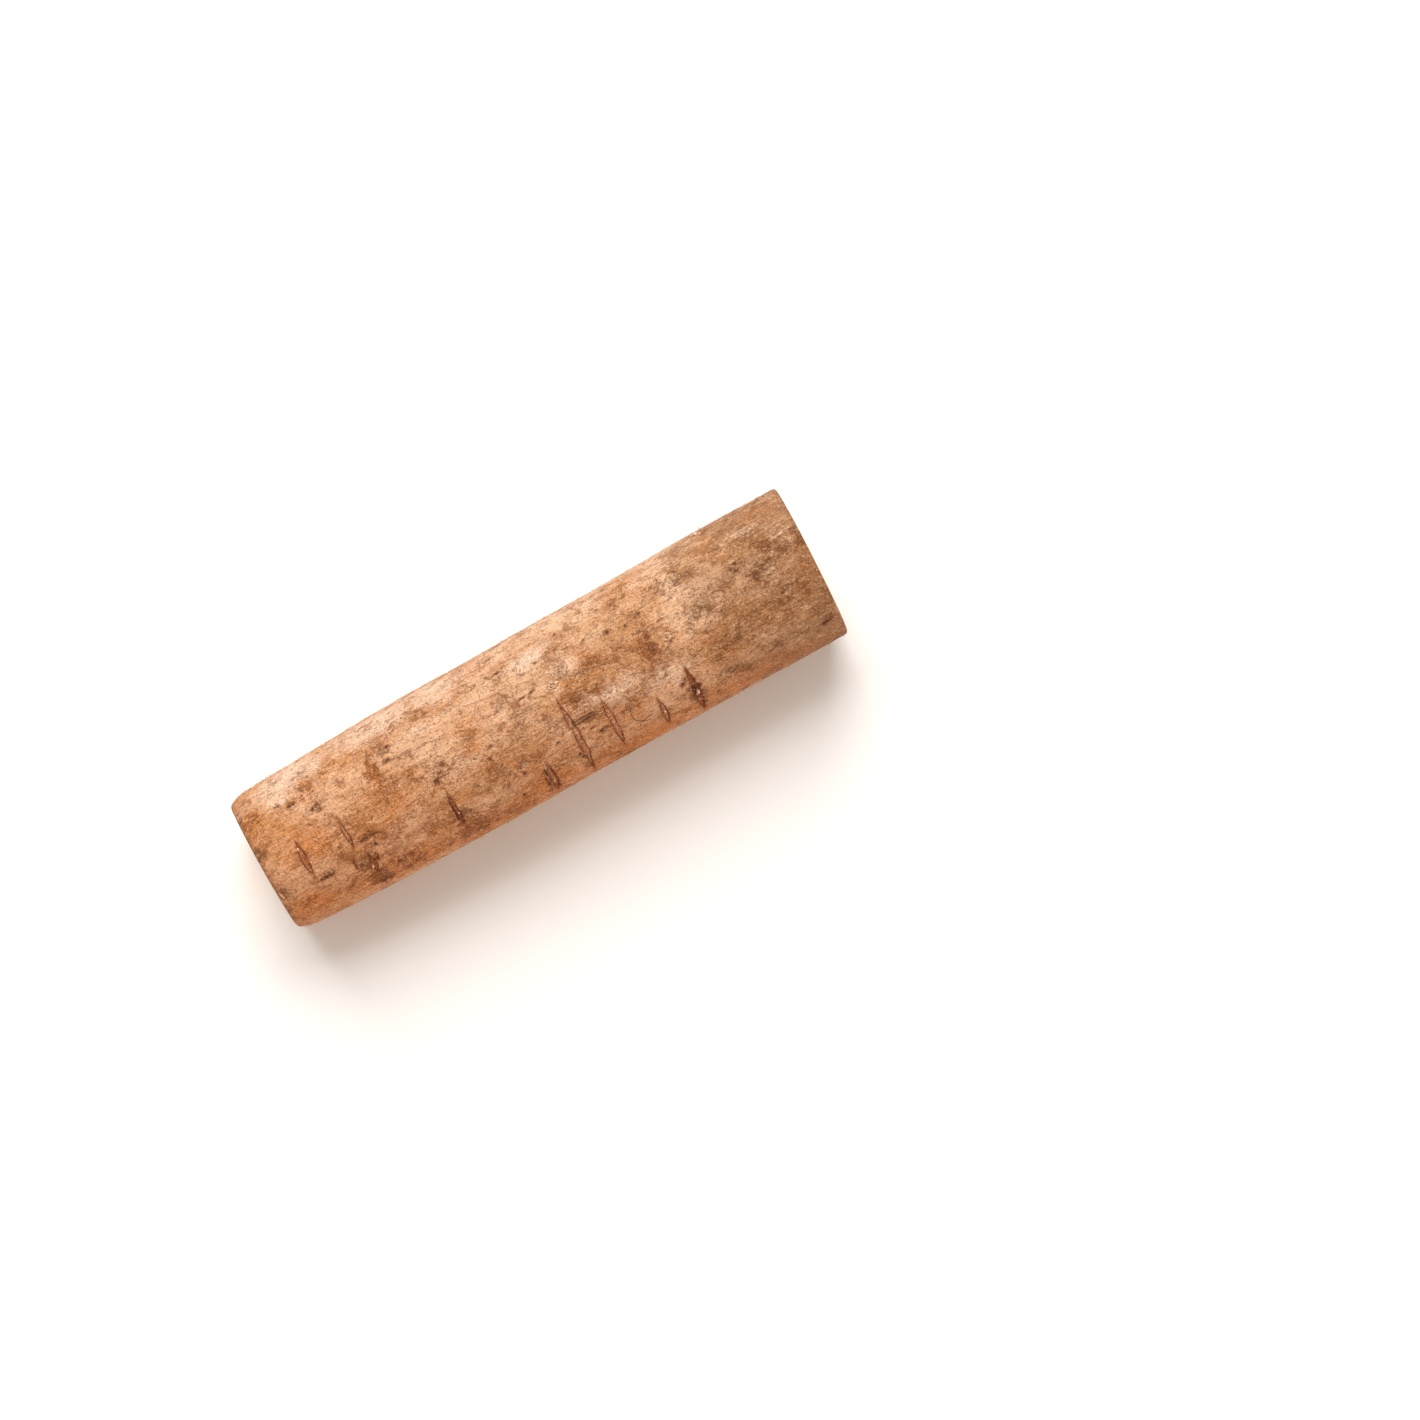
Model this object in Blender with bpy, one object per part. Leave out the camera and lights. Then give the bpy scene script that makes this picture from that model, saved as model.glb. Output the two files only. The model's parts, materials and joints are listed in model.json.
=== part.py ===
"""A cut length of burdock root lying on its side, as one solid.

The root's axis runs along X, with the thick end towards +X, and the bark rests on z = 0 along a narrow flat strip.
A place on the bark is given by x along the root and by a turn about its axis: 0 is straight up, and a positive turn
goes towards -Y. The front face is the side that the measured slits and scars are placed from.
"""

import math
import random

import bmesh
import bpy
from mathutils import Matrix, Vector

# Driving dimensions, in metres
LENGTH = 0.1112
THICK_RADIUS = 0.0143
THIN_RADIUS = 0.0132
REST_WIDTH = 0.0075
THIN_RIM_LENGTH = 0.0042
THIN_RIM_DEPTH = 0.0013
THICK_RIM_LENGTH = 0.0007
THICK_RIM_DEPTH = 0.0004

# Shape of the bark
TAPER_REACH = 0.17
THICK_CUT_LEAN = 0.041
RIB_HEIGHT = 0.00012
SWELL_HEIGHT = 0.00009
SIDES = 68
BARK_ROWS = 38
RIM_STEPS = 3

# Shape of the cut faces, as shares of the radius
CAMBIUM_SHARE = 0.67
CAMBIUM_HALF_WIDTH = 0.025
CAMBIUM_DEPTH = 0.00028
CORE_RISE = 0.00022
CORE_SHARES = (0.24, 0.46)
CORTEX_SHARES = (0.84,)

# Turn from straight up to the middle of the front face, in degrees
FRONT_TURN = 2.4

# Slits across the front: x in mm, first and last angle in degrees, width and depth in mm, share of the way to the
# widest point. The angles count from the middle of the front face.
FRONT_SLITS = (
    (-48.2, -9, 30, 1.05, 0.85, 0.50),
    (-39.6, -8, 24, 0.70, 0.60, 0.55),
    (-38.0, 24, 53, 0.95, 0.80, 0.60),
    (-20.8, 8, 52, 0.80, 0.70, 0.60),
    (-3.1, 20, 71, 0.95, 0.80, 0.68),
    (4.0, -10, 78, 1.10, 0.80, 0.48),
    (10.8, 4, 65, 1.10, 0.85, 0.52),
    (19.7, 31, 67, 0.85, 0.75, 0.50),
    (26.5, 20, 83, 1.10, 0.90, 0.46),
)
# Stubs of rootlets: x in mm, angle in degrees, diameter and height in mm
FRONT_STUBS = (
    (-48.1, 1, 0.8, 0.10),
    (-38.5, 43.5, 0.9, 0.25),
    (-20.7, 38, 0.8, 0.15),
    (-3.0, 56, 0.8, 0.10),
    (19.7, 48, 0.9, 0.20),
    (26.5, 48, 1.2, 0.30),
    (39.8, -76, 1.6, 0.35),
    (52.6, -84, 1.4, 0.30),
)
# Healed scars: x in mm, angle in degrees, diameter and height in mm
FRONT_SCARS = (
    (26.4, -3, 1.6, 0.20),
    (4.6, -12, 1.4, 0.20),
    (-48.1, -39, 1.4, 0.18),
)
# A burdock's rootlets grow in two ranks, so the hidden side has its own rank opposite the front one
BACK_SEED = 17
BACK_SLITS = 8
BACK_RANK_ANGLE = 226.0
BACK_STUB_SHARE = 0.6

SLIT_STEPS = 9
SLIT_BOW = 0.00008
SLIT_OVERHANG = 0.0004
STUB_SIDES = 7
STUB_ROOT = 0.0013

# The star of hollows in the thick end's pith: angle in degrees, inner end, outer end and width as shares of the radius
THICK_STAR = (
    (27, 0.08, 0.19, 0.070),
    (80, 0.06, 0.27, 0.085),
    (137, 0.09, 0.24, 0.070),
    (217, 0.11, 0.28, 0.075),
    (272, 0.07, 0.27, 0.090),
    (330, 0.06, 0.19, 0.075),
    (354, 0.17, 0.29, 0.050),
    (24, 0.24, 0.38, 0.045),
    (243, 0.32, 0.39, 0.050),
)
# The thin end's pith has only two short splits
THIN_STAR = (
    (70, 0.03, 0.20, 0.040),
    (244, 0.04, 0.16, 0.035),
)
STAR_DEPTH = 0.0016
STAR_SIDES = 8

BARK_COLOUR = (0.53, 0.32, 0.16, 1.0)
BARK_ROUGHNESS = 0.85


def mm(value):
    """Metres for a length in millimetres."""
    return value * 0.001


def front_turn(angle):
    """Turn about the root's axis, in radians, for an angle in degrees from the middle of the front face."""
    return math.radians(FRONT_TURN + angle)


def girth(x):
    """Radius of the root without its ribs: the thin end swells quickly to nearly the full width."""
    along = x / LENGTH + 0.5
    return THICK_RADIUS - (THICK_RADIUS - THIN_RADIUS) * math.exp(-along / TAPER_REACH)


def axis_height(x):
    """Height of the axis over the ground, so that the underside is flat all along."""
    return math.sqrt(girth(x) ** 2 - (REST_WIDTH / 2) ** 2)


def bark_radius(x, turn):
    """Distance from the axis to the bark, with its soft lengthwise ribs and slow swellings."""
    along = x / LENGTH
    ribs = math.cos(5 * turn + 2.6 * along + 0.7)
    ribs += 0.5 * math.cos(8 * turn - 4.1 * along + 2.0)
    ribs += 0.15 * math.cos(13 * turn + 7.0 * along)
    swells = math.sin(11.0 * along + 2 * turn + 0.4)
    swells += 0.6 * math.sin(23.0 * along - 3 * turn + 1.9)
    return girth(x) + RIB_HEIGHT * ribs + SWELL_HEIGHT * swells


def place(x, turn, radius):
    """The point at this x, turn and distance from the axis, with the thick cut's lean and the flat underside."""
    y = -radius * math.sin(turn)
    z = axis_height(x) + radius * math.cos(turn)
    leaning_x = x + THICK_CUT_LEAN * y * max(0.0, x) / (LENGTH / 2)
    return Vector((leaning_x, y, max(0.0, z)))


def bark_point(x, turn, lift):
    """The point that stands this far above the bark."""
    return place(x, turn, bark_radius(x, turn) + lift)


def end_rings(side, rim_length, rim_depth):
    """(x, share of the radius, inset) of each ring of one end, from its centre out to where the bark begins."""
    end = side * LENGTH / 2
    rings = [(end + side * CORE_RISE, 0.0, 0.0)]
    for share in CORE_SHARES:
        rise = CORE_RISE * (1 - (share / CAMBIUM_SHARE) ** 2)
        rings.append((end + side * rise, share, 0.0))
    rings.append((end, CAMBIUM_SHARE - CAMBIUM_HALF_WIDTH, 0.0))
    rings.append((end - side * CAMBIUM_DEPTH, CAMBIUM_SHARE, 0.0))
    rings.append((end, CAMBIUM_SHARE + CAMBIUM_HALF_WIDTH, 0.0))
    for share in CORTEX_SHARES:
        rings.append((end, share, 0.0))
    for step in range(RIM_STEPS + 1):
        angle = math.radians(90 * (1 - step / RIM_STEPS))
        x = end - side * rim_length * (1 - math.sin(angle))
        rings.append((x, 1.0, rim_depth * (1 - math.cos(angle))))
    return rings


def root_rings():
    """Every ring of the root, from the thin end's centre to the thick end's."""
    thin_end = end_rings(-1, THIN_RIM_LENGTH, THIN_RIM_DEPTH)
    thick_end = end_rings(1, THICK_RIM_LENGTH, THICK_RIM_DEPTH)
    start = thin_end[-1][0]
    finish = thick_end[-1][0]
    step = (finish - start) / (BARK_ROWS + 1)
    bark = [(start + step * row, 1.0, 0.0) for row in range(1, BARK_ROWS + 1)]
    return thin_end + bark + thick_end[::-1]


def root_body():
    """The root before its slits: a profile spun about X, with each point then moved to the bark or the cut face."""
    rings = root_rings()
    body = bmesh.new()
    profile = [body.verts.new((x, 0.0, share)) for x, share, _ in rings]
    edges = [body.edges.new(pair) for pair in zip(profile, profile[1:])]
    bmesh.ops.spin(
        body,
        geom=profile + edges,
        cent=(0, 0, 0),
        axis=(1, 0, 0),
        angle=math.tau,
        steps=SIDES,
        use_merge=True,
    )
    bmesh.ops.remove_doubles(body, verts=body.verts, dist=1e-7)
    insets = {round(x, 7): inset for x, _, inset in rings if inset}
    for vert in body.verts:
        x, y, z = vert.co
        turn = math.atan2(-y, z)
        share = math.hypot(y, z)
        relief = bark_radius(x, turn) - insets.get(round(x, 7), 0.0) - girth(x)
        vert.co = place(x, turn, share * (girth(x) + relief * share**2))
    bmesh.ops.recalc_face_normals(body, faces=body.faces)
    return object_from(body, "burdock_root")


def slit_cutter(x, first, last, width, depth, peak):
    """A blade bent round the bark, which cuts one lens-shaped slit. Its section is a wedge with the edge inwards."""
    sharpness = math.log(0.5) / math.log(peak)
    blade = bmesh.new()
    rows = []
    for step in range(SLIT_STEPS + 2):
        share = step / (SLIT_STEPS + 1)
        turn = first + (last - first) * share
        fullness = math.sin(math.pi * share**sharpness) if 0 < step <= SLIT_STEPS else 0.0
        centre = x + SLIT_BOW * math.sin(2.5 * math.pi * share + 900 * x)
        if fullness == 0.0:
            rows.append([blade.verts.new(bark_point(centre, turn, SLIT_OVERHANG / 2))])
            continue
        reach = depth * fullness**0.6
        half = width / 2 * fullness * (1 + SLIT_OVERHANG / reach)
        row = (
            bark_point(centre - half, turn, SLIT_OVERHANG),
            bark_point(centre + half, turn, SLIT_OVERHANG),
            bark_point(centre, turn, -reach),
        )
        rows.append([blade.verts.new(point) for point in row])
    for here, there in zip(rows, rows[1:]):
        for corner in range(3):
            following = (corner + 1) % 3
            if len(here) == 1:
                blade.faces.new((here[0], there[corner], there[following]))
            elif len(there) == 1:
                blade.faces.new((here[corner], here[following], there[0]))
            else:
                blade.faces.new((here[corner], here[following], there[following], there[corner]))
    bmesh.ops.recalc_face_normals(blade, faces=blade.faces)
    return object_from(blade, "slit_cutter")


def bump(name, x, turn, diameter, height, tip_share):
    """A low round stub or scar: a short cone that stands along the bark's normal, its foot sunk in the root."""
    shape = bmesh.new()
    bmesh.ops.create_cone(
        shape,
        cap_ends=True,
        segments=STUB_SIDES,
        radius1=diameter / 2,
        radius2=diameter / 2 * tip_share,
        depth=STUB_ROOT + height,
    )
    foot = bark_point(x, turn, -STUB_ROOT)
    tip = bark_point(x, turn, height)
    stand = Vector((0, 0, 1)).rotation_difference(tip - foot).to_matrix().to_4x4()
    bmesh.ops.transform(shape, matrix=Matrix.Translation((foot + tip) / 2) @ stand, verts=shape.verts)
    return object_from(shape, name)


def star_cutter(side, angle, inner, outer, width):
    """One almond-shaped hollow of the pith, pointing at the middle of the cut face."""
    end = side * LENGTH / 2
    radius = girth(end)
    turn = math.radians(angle)
    middle = (inner + outer) / 2 * radius
    half_length = (outer - inner) / 2 * radius
    hollow = bmesh.new()
    bmesh.ops.create_cone(hollow, cap_ends=True, segments=STAR_SIDES, radius1=1.0, radius2=0.55, depth=2.0)
    for vert in hollow.verts:
        along = middle + half_length * vert.co.x
        across = width / 2 * radius * vert.co.y
        flat_turn = Vector((across, along))
        y = -flat_turn.y * math.sin(turn) - flat_turn.x * math.cos(turn)
        z = flat_turn.y * math.cos(turn) - flat_turn.x * math.sin(turn)
        x = end - side * STAR_DEPTH * vert.co.z
        vert.co = Vector((x, y, z + axis_height(end)))
    bmesh.ops.recalc_face_normals(hollow, faces=hollow.faces)
    return object_from(hollow, "star_cutter")


def object_from(shape, name):
    """A new object in the scene with this bmesh as its mesh."""
    mesh = bpy.data.meshes.new(name)
    shape.to_mesh(mesh)
    shape.free()
    thing = bpy.data.objects.new(name, mesh)
    bpy.context.scene.collection.objects.link(thing)
    return thing


def combine(root, shapes, operation):
    """Cuts the shapes from the root, or joins them to it, and removes them."""
    group = bpy.data.collections.new("shapes")
    bpy.context.scene.collection.children.link(group)
    for shape in shapes:
        bpy.context.scene.collection.objects.unlink(shape)
        group.objects.link(shape)
    boolean = root.modifiers.new(operation.lower(), "BOOLEAN")
    boolean.operation = operation
    boolean.operand_type = "COLLECTION"
    boolean.collection = group
    bpy.context.view_layer.objects.active = root
    bpy.ops.object.modifier_apply(modifier=boolean.name)
    for shape in shapes:
        bpy.data.objects.remove(shape)
    bpy.data.collections.remove(group)


def back_slits():
    """The hidden side's slits and stubs, drawn in the same sizes as the front's and spread along the root."""
    draw = random.Random(BACK_SEED)
    slits = []
    stubs = []
    for number in range(BACK_SLITS):
        share = (number + 0.5) / BACK_SLITS
        x = 1000 * LENGTH * (share - 0.5) + draw.uniform(-4, 4)
        middle = BACK_RANK_ANGLE + draw.uniform(-12, 12)
        reach = draw.uniform(13, 28)
        width = draw.uniform(0.7, 1.1)
        peak = draw.uniform(0.4, 0.6)
        slits.append((x, middle - reach, middle + reach, width, 0.8 * width, peak))
        if draw.random() < BACK_STUB_SHARE:
            stubs.append((x, middle + draw.uniform(-5, 5), draw.uniform(0.8, 1.2), draw.uniform(0.1, 0.3)))
    return slits, stubs


def bark_material():
    """Dry, earthy bark."""
    material = bpy.data.materials.new("bark")
    material.use_nodes = True
    shader = material.node_tree.nodes["Principled BSDF"]
    shader.inputs["Base Color"].default_value = BARK_COLOUR
    shader.inputs["Roughness"].default_value = BARK_ROUGHNESS
    shader.inputs["Metallic"].default_value = 0.0
    return material


for leftover in list(bpy.data.objects):
    bpy.data.objects.remove(leftover)

burdock_root = root_body()
hidden_slits, hidden_stubs = back_slits()

cutters = []
for slit_x, first, last, width, depth, peak in (*FRONT_SLITS, *hidden_slits):
    cutters.append(slit_cutter(mm(slit_x), front_turn(first), front_turn(last), mm(width), mm(depth), peak))
for star_side, star in ((1, THICK_STAR), (-1, THIN_STAR)):
    for angle, inner, outer, width in star:
        cutters.append(star_cutter(star_side, angle, inner, outer, width))
combine(burdock_root, cutters, "DIFFERENCE")

bumps = []
for stub_x, angle, diameter, height in (*FRONT_STUBS, *hidden_stubs):
    bumps.append(bump("stub", mm(stub_x), front_turn(angle), mm(diameter), mm(height), 0.6))
for scar_x, angle, diameter, height in FRONT_SCARS:
    bumps.append(bump("scar", mm(scar_x), front_turn(angle), mm(diameter), mm(height), 0.75))
combine(burdock_root, bumps, "UNION")

burdock_root.data.materials.clear()
burdock_root.data.materials.append(bark_material())
burdock_root.data.shade_smooth()
burdock_root.data.set_sharp_from_angle(angle=math.radians(35))
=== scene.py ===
"""A cut length of burdock root on a pale floor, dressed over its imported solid."""

import json
import math
import random

import bpy
import bmesh
import numpy as np
from mathutils import Matrix, Vector, noise
from mathutils.bvhtree import BVHTree

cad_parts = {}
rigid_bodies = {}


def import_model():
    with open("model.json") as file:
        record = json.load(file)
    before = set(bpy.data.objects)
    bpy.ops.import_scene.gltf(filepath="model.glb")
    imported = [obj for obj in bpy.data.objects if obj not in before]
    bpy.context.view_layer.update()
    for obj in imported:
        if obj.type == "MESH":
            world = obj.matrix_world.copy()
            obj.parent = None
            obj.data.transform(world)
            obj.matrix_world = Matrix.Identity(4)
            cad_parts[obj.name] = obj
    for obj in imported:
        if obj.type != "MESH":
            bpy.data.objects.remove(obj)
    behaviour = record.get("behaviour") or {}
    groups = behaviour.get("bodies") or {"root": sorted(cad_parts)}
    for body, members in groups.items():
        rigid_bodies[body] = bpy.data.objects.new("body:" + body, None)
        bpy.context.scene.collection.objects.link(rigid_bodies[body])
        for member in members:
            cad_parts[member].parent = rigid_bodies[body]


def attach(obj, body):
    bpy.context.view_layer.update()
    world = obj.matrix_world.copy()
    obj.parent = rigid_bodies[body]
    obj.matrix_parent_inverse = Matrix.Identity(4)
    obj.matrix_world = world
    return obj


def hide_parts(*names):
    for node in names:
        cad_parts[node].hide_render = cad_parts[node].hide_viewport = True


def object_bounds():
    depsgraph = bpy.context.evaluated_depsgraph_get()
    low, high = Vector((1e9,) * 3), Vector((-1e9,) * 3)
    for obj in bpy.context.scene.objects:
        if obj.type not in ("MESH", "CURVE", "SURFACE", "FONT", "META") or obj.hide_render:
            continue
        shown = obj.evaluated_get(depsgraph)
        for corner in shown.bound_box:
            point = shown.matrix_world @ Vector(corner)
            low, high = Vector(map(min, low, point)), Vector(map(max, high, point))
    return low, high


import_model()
solid_box = [list(corner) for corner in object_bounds()]
bpy.ops.object.select_all(action="DESELECT")


# The camera looks almost straight down on the root from far off, through a long lens.
# The root runs up to the right at the photograph's slope, at its place and size in the frame.
PHOTO_SIDE = 1420
PHOTO_SLOPE = math.radians(29.2)
PHOTO_MIDDLE = (538.4, 712.3)
PHOTO_ROOT_PIXELS = 632
ROOT_SPAN = 0.112
VIEW_ELEVATION = math.radians(88)
LENS_MM = 200
SENSOR_MM = 36

view_heading = math.atan(math.tan(PHOTO_SLOPE) / math.sin(VIEW_ELEVATION))
heading = Vector((math.sin(view_heading), math.cos(view_heading), 0))
gaze = heading * math.cos(VIEW_ELEVATION) - Vector((0, 0, 1)) * math.sin(VIEW_ELEVATION)
picture_right = heading.cross(Vector((0, 0, 1)))
picture_up = picture_right.cross(gaze)
metres_per_pixel = ROOT_SPAN / PHOTO_ROOT_PIXELS
camera_distance = PHOTO_SIDE * metres_per_pixel * LENS_MM / SENSOR_MM
root_middle = (Vector(solid_box[0]) + Vector(solid_box[1])) / 2
aim = root_middle.copy()
aim += picture_right * (PHOTO_SIDE / 2 - PHOTO_MIDDLE[0]) * metres_per_pixel
aim += picture_up * (PHOTO_MIDDLE[1] - PHOTO_SIDE / 2) * metres_per_pixel
bpy.ops.object.camera_add(location=aim - gaze * camera_distance)
camera = bpy.context.object
camera.rotation_euler = Matrix((picture_right, picture_up, -gaze)).transposed().to_euler()
camera.data.lens = LENS_MM
camera.data.sensor_width = SENSOR_MM
camera.data.clip_start = 0.01
camera.data.clip_end = 20
bpy.context.scene.camera = camera


# The root's form: round, tapering to its thin end, cut at both ends and lying on a flattened strip.
# A place on the bark is x along the root and a turn about its axis, 0 straight up and positive towards -Y.
LENGTH = 0.1112
THICK_RADIUS = 0.0143
THIN_RADIUS = 0.0132
REST_WIDTH = 0.0075
RIM_LENGTHS = (0.0042, 0.0007)
RIM_DEPTHS = (0.0013, 0.0004)
TAPER_REACH = 0.17
THICK_CUT_LEAN = 0.041
RIB_HEIGHT = 0.00012
SWELL_HEIGHT = 0.00009
FRONT_TURN = 2.4
SIDES = 232
ROW_FACTORS = (17, 20)
CUT_RINGS = 24


def girth(x):
    """Radius of the root without its ribs."""
    along = x / LENGTH + 0.5
    return THICK_RADIUS - (THICK_RADIUS - THIN_RADIUS) * np.exp(-along / TAPER_REACH)


def axis_height(x):
    """Height of the axis over the floor, so that the underside is flat all along."""
    return np.sqrt(girth(x) ** 2 - (REST_WIDTH / 2) ** 2)


def bark_radius(x, turn):
    """Distance from the axis to the bark, with its soft lengthwise ribs and slow swellings."""
    along = x / LENGTH
    ribs = np.cos(5 * turn + 2.6 * along + 0.7)
    ribs = ribs + 0.5 * np.cos(8 * turn - 4.1 * along + 2.0)
    ribs = ribs + 0.15 * np.cos(13 * turn + 7.0 * along)
    swells = np.sin(11.0 * along + 2 * turn + 0.4)
    swells = swells + 0.6 * np.sin(23.0 * along - 3 * turn + 1.9)
    return girth(x) + RIB_HEIGHT * ribs + SWELL_HEIGHT * swells


def rim_inset(x):
    """How far the bark is rounded in near each cut."""
    inset = np.zeros_like(x)
    for side, length, depth in zip((-1, 1), RIM_LENGTHS, RIM_DEPTHS):
        gap = np.clip((LENGTH / 2 - side * x) / length, 0, 1)
        inset += depth * (1 - np.sqrt(np.clip(1 - (1 - gap) ** 2, 0, 1)))
    return inset


def place(x, turn, radius):
    """Points at this x, turn and distance from the axis, with the thick cut's lean and a flat underside."""
    y = -radius * np.sin(turn)
    z = np.maximum(0.0, axis_height(x) + radius * np.cos(turn))
    leaning_x = x + THICK_CUT_LEAN * y * np.maximum(0.0, x) / (LENGTH / 2)
    return np.stack([leaning_x, y, z], axis=-1)


def front_turn(angle):
    """Turn about the axis, in radians, for an angle in degrees from the middle of the front face."""
    return math.radians(FRONT_TURN + angle)


# Slits across the bark, where rootlets came through: x in mm, first and last angle in degrees, width and
# depth in mm, share of the way to the widest point, and how much of the slit is filled by brown tissue.
FRONT_SLITS = (
    (-48.2, -9, 30, 1, 0.35, 0.5, 0.3), (-39.7, -8, 24, 0.7, 0.3, 0.55, 0.9),
    (-38, 24, 53, 0.85, 0.4, 0.6, 0.2), (-20.8, 8, 52, 0.75, 0.4, 0.6, 0.2),
    (-3.1, 20, 71, 0.95, 0.35, 0.68, 0.7), (4.2, -10, 78, 1.05, 0.35, 0.46, 0.9),
    (11, 4, 65, 1.05, 0.4, 0.52, 0.9), (19.8, 31, 67, 0.85, 0.35, 0.5, 0.9),
    (26.6, 18, 83, 1.05, 0.45, 0.44, 0.1), (-40.9, 26, 42, 0.32, 0.15, 0.5, 0.2),
    (-36.9, 29, 44, 0.32, 0.15, 0.5, 0.2), (-4.3, 40, 62, 0.3, 0.15, 0.55, 0.2),
    (21.7, -16, 13, 0.26, 0.12, 0.5, 0.2),
)
# Short cracks along the root: first and last x in mm, angle in degrees, width and depth in mm.
FRONT_CRACKS = (
    (4.6, 9, 20.5, 0.2, 0.12), (-38.3, -34.6, 17.5, 0.4, 0.2), (-39.2, -35.3, 63.5, 0.5, 0.25),
    (-41, -36.5, 51, 0.3, 0.15), (-47.6, -44.6, 31.5, 0.45, 0.15), (15, 18, 45, 0.25, 0.1),
    (38.6, 41.6, -74, 0.5, 0.3), (32.5, 39.5, 77, 0.4, 0.25),
)
BACK_SEED = 17
BACK_SLITS = 8
BACK_RANK_ANGLE = 226.0
BACK_STUB_SHARE = 0.6
BACK_CRACKS = 9

draw = random.Random(BACK_SEED)
back_slits = []
back_stubs = []
for number in range(BACK_SLITS):
    share = (number + 0.5) / BACK_SLITS
    slit_x = 1000 * LENGTH * (share - 0.5) + draw.uniform(-4, 4)
    middle = BACK_RANK_ANGLE + draw.uniform(-12, 12)
    reach = draw.uniform(13, 28)
    width = draw.uniform(0.7, 1.1)
    peak = draw.uniform(0.4, 0.6)
    filling = 0.2 + 0.5 * (number % 2)
    back_slits.append((slit_x, middle - reach, middle + reach, width, 0.4 * width, peak, filling))
    if draw.random() < BACK_STUB_SHARE:
        stub_angle = middle + draw.uniform(-5, 5)
        back_stubs.append((slit_x, stub_angle, draw.uniform(0.8, 1.2), draw.uniform(0.1, 0.3)))
back_cracks = []
for number in range(BACK_CRACKS):
    crack_x = draw.uniform(-50, 46)
    crack_reach = draw.uniform(2.5, 6)
    angle, width = draw.uniform(195, 275), draw.uniform(0.2, 0.5)
    back_cracks.append((crack_x, crack_x + crack_reach, angle, width, 0.15))
slits = (*FRONT_SLITS, *back_slits)
cracks = (*FRONT_CRACKS, *back_cracks)

# The root starts as a cylinder. Its ends are inset ring by ring and closed at a point, and its side is cut
# into rows that crowd together at the slits and the rims, where the surface turns fastest.
SLIT_ROW_GAP = 0.00014
PLAIN_ROW_GAP = 0.00062
SLIT_ROW_REACH = 0.0008
CAMBIUM_SHARE = 0.67

bpy.ops.mesh.primitive_cylinder_add(
    vertices=SIDES, radius=THICK_RADIUS, depth=LENGTH, rotation=(0, math.pi / 2, 0), end_fill_type="NGON"
)
root = bpy.context.object
root.name = "burdock_root_skin"
bpy.ops.object.transform_apply(location=True, rotation=True, scale=True)
bpy.ops.object.mode_set(mode="EDIT")
bpy.ops.mesh.select_mode(type="FACE")
bpy.ops.mesh.select_all(action="DESELECT")
shape = bmesh.from_edit_mesh(root.data)
for face in shape.faces:
    face.select_set(abs(face.normal.x) > 0.9)
bmesh.update_edit_mesh(root.data)
for ring in range(CUT_RINGS):
    bpy.ops.mesh.inset(thickness=THICK_RADIUS / (CUT_RINGS + 1))
bpy.ops.mesh.poke()
for cuts in ROW_FACTORS:
    bpy.ops.mesh.select_mode(type="EDGE")
    bpy.ops.mesh.select_all(action="DESELECT")
    shape = bmesh.from_edit_mesh(root.data)
    for edge in shape.edges:
        edge.select_set(abs(edge.verts[0].co.x - edge.verts[1].co.x) > LENGTH / 1000)
    bmesh.update_edit_mesh(root.data)
    bpy.ops.mesh.subdivide(number_cuts=cuts - 1)
bpy.ops.mesh.select_all(action="DESELECT")
bpy.ops.object.mode_set(mode="OBJECT")

fine_x = np.linspace(-LENGTH / 2, LENGTH / 2, 6001)
crowding = np.full_like(fine_x, 1 / PLAIN_ROW_GAP)
for slit_x, first, last, width, *_ in slits:
    if width > 0.5:
        near = np.exp(-(((fine_x - slit_x / 1000) / SLIT_ROW_REACH) ** 4))
        crowding = np.maximum(crowding, near / SLIT_ROW_GAP)
for end in (-LENGTH / 2, LENGTH / 2):
    crowding = np.maximum(crowding, np.exp(-(((fine_x - end) / 0.0012) ** 2)) / 0.0002)
filled = np.concatenate([[0], np.cumsum((crowding[1:] + crowding[:-1]) / 2)])
filled /= filled[-1]

count = len(root.data.vertices)
flat = np.empty(count * 3)
root.data.vertices.foreach_get("co", flat)
start = flat.reshape(-1, 3)
turn = np.arctan2(-start[:, 1], start[:, 2])
share = np.hypot(start[:, 1], start[:, 2]) / THICK_RADIUS
on_bark = share > 0.9999
fine_share = np.linspace(0, 1, 2001)
near_cambium = np.exp(-(((fine_share - CAMBIUM_SHARE) / 0.035) ** 2))
near_rim = np.exp(-(((fine_share - 1) / 0.03) ** 2))
ring_crowding = 1 + 3 * near_cambium + 3 * near_rim
ring_filled = np.concatenate([[0], np.cumsum((ring_crowding[1:] + ring_crowding[:-1]) / 2)])
share = np.where(on_bark, 1.0, np.interp(share, ring_filled / ring_filled[-1], fine_share))
row_share = np.clip(start[:, 0] / LENGTH + 0.5, 0, 1)
x = np.interp(row_share, filled, fine_x)
thick_end = start[:, 0] > 0


def lumps(points, size, seed):
    """Smooth noise from about -1 to 1 at each point, with lumps of this size along x, y and z."""
    scaled = points / np.array(size) + seed
    return np.array([noise.noise(point) for point in scaled.tolist()])


def turned(angle_gap):
    """The gap between two turns, wrapped to a half turn either way."""
    return (angle_gap + math.pi) % math.tau - math.pi


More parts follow.
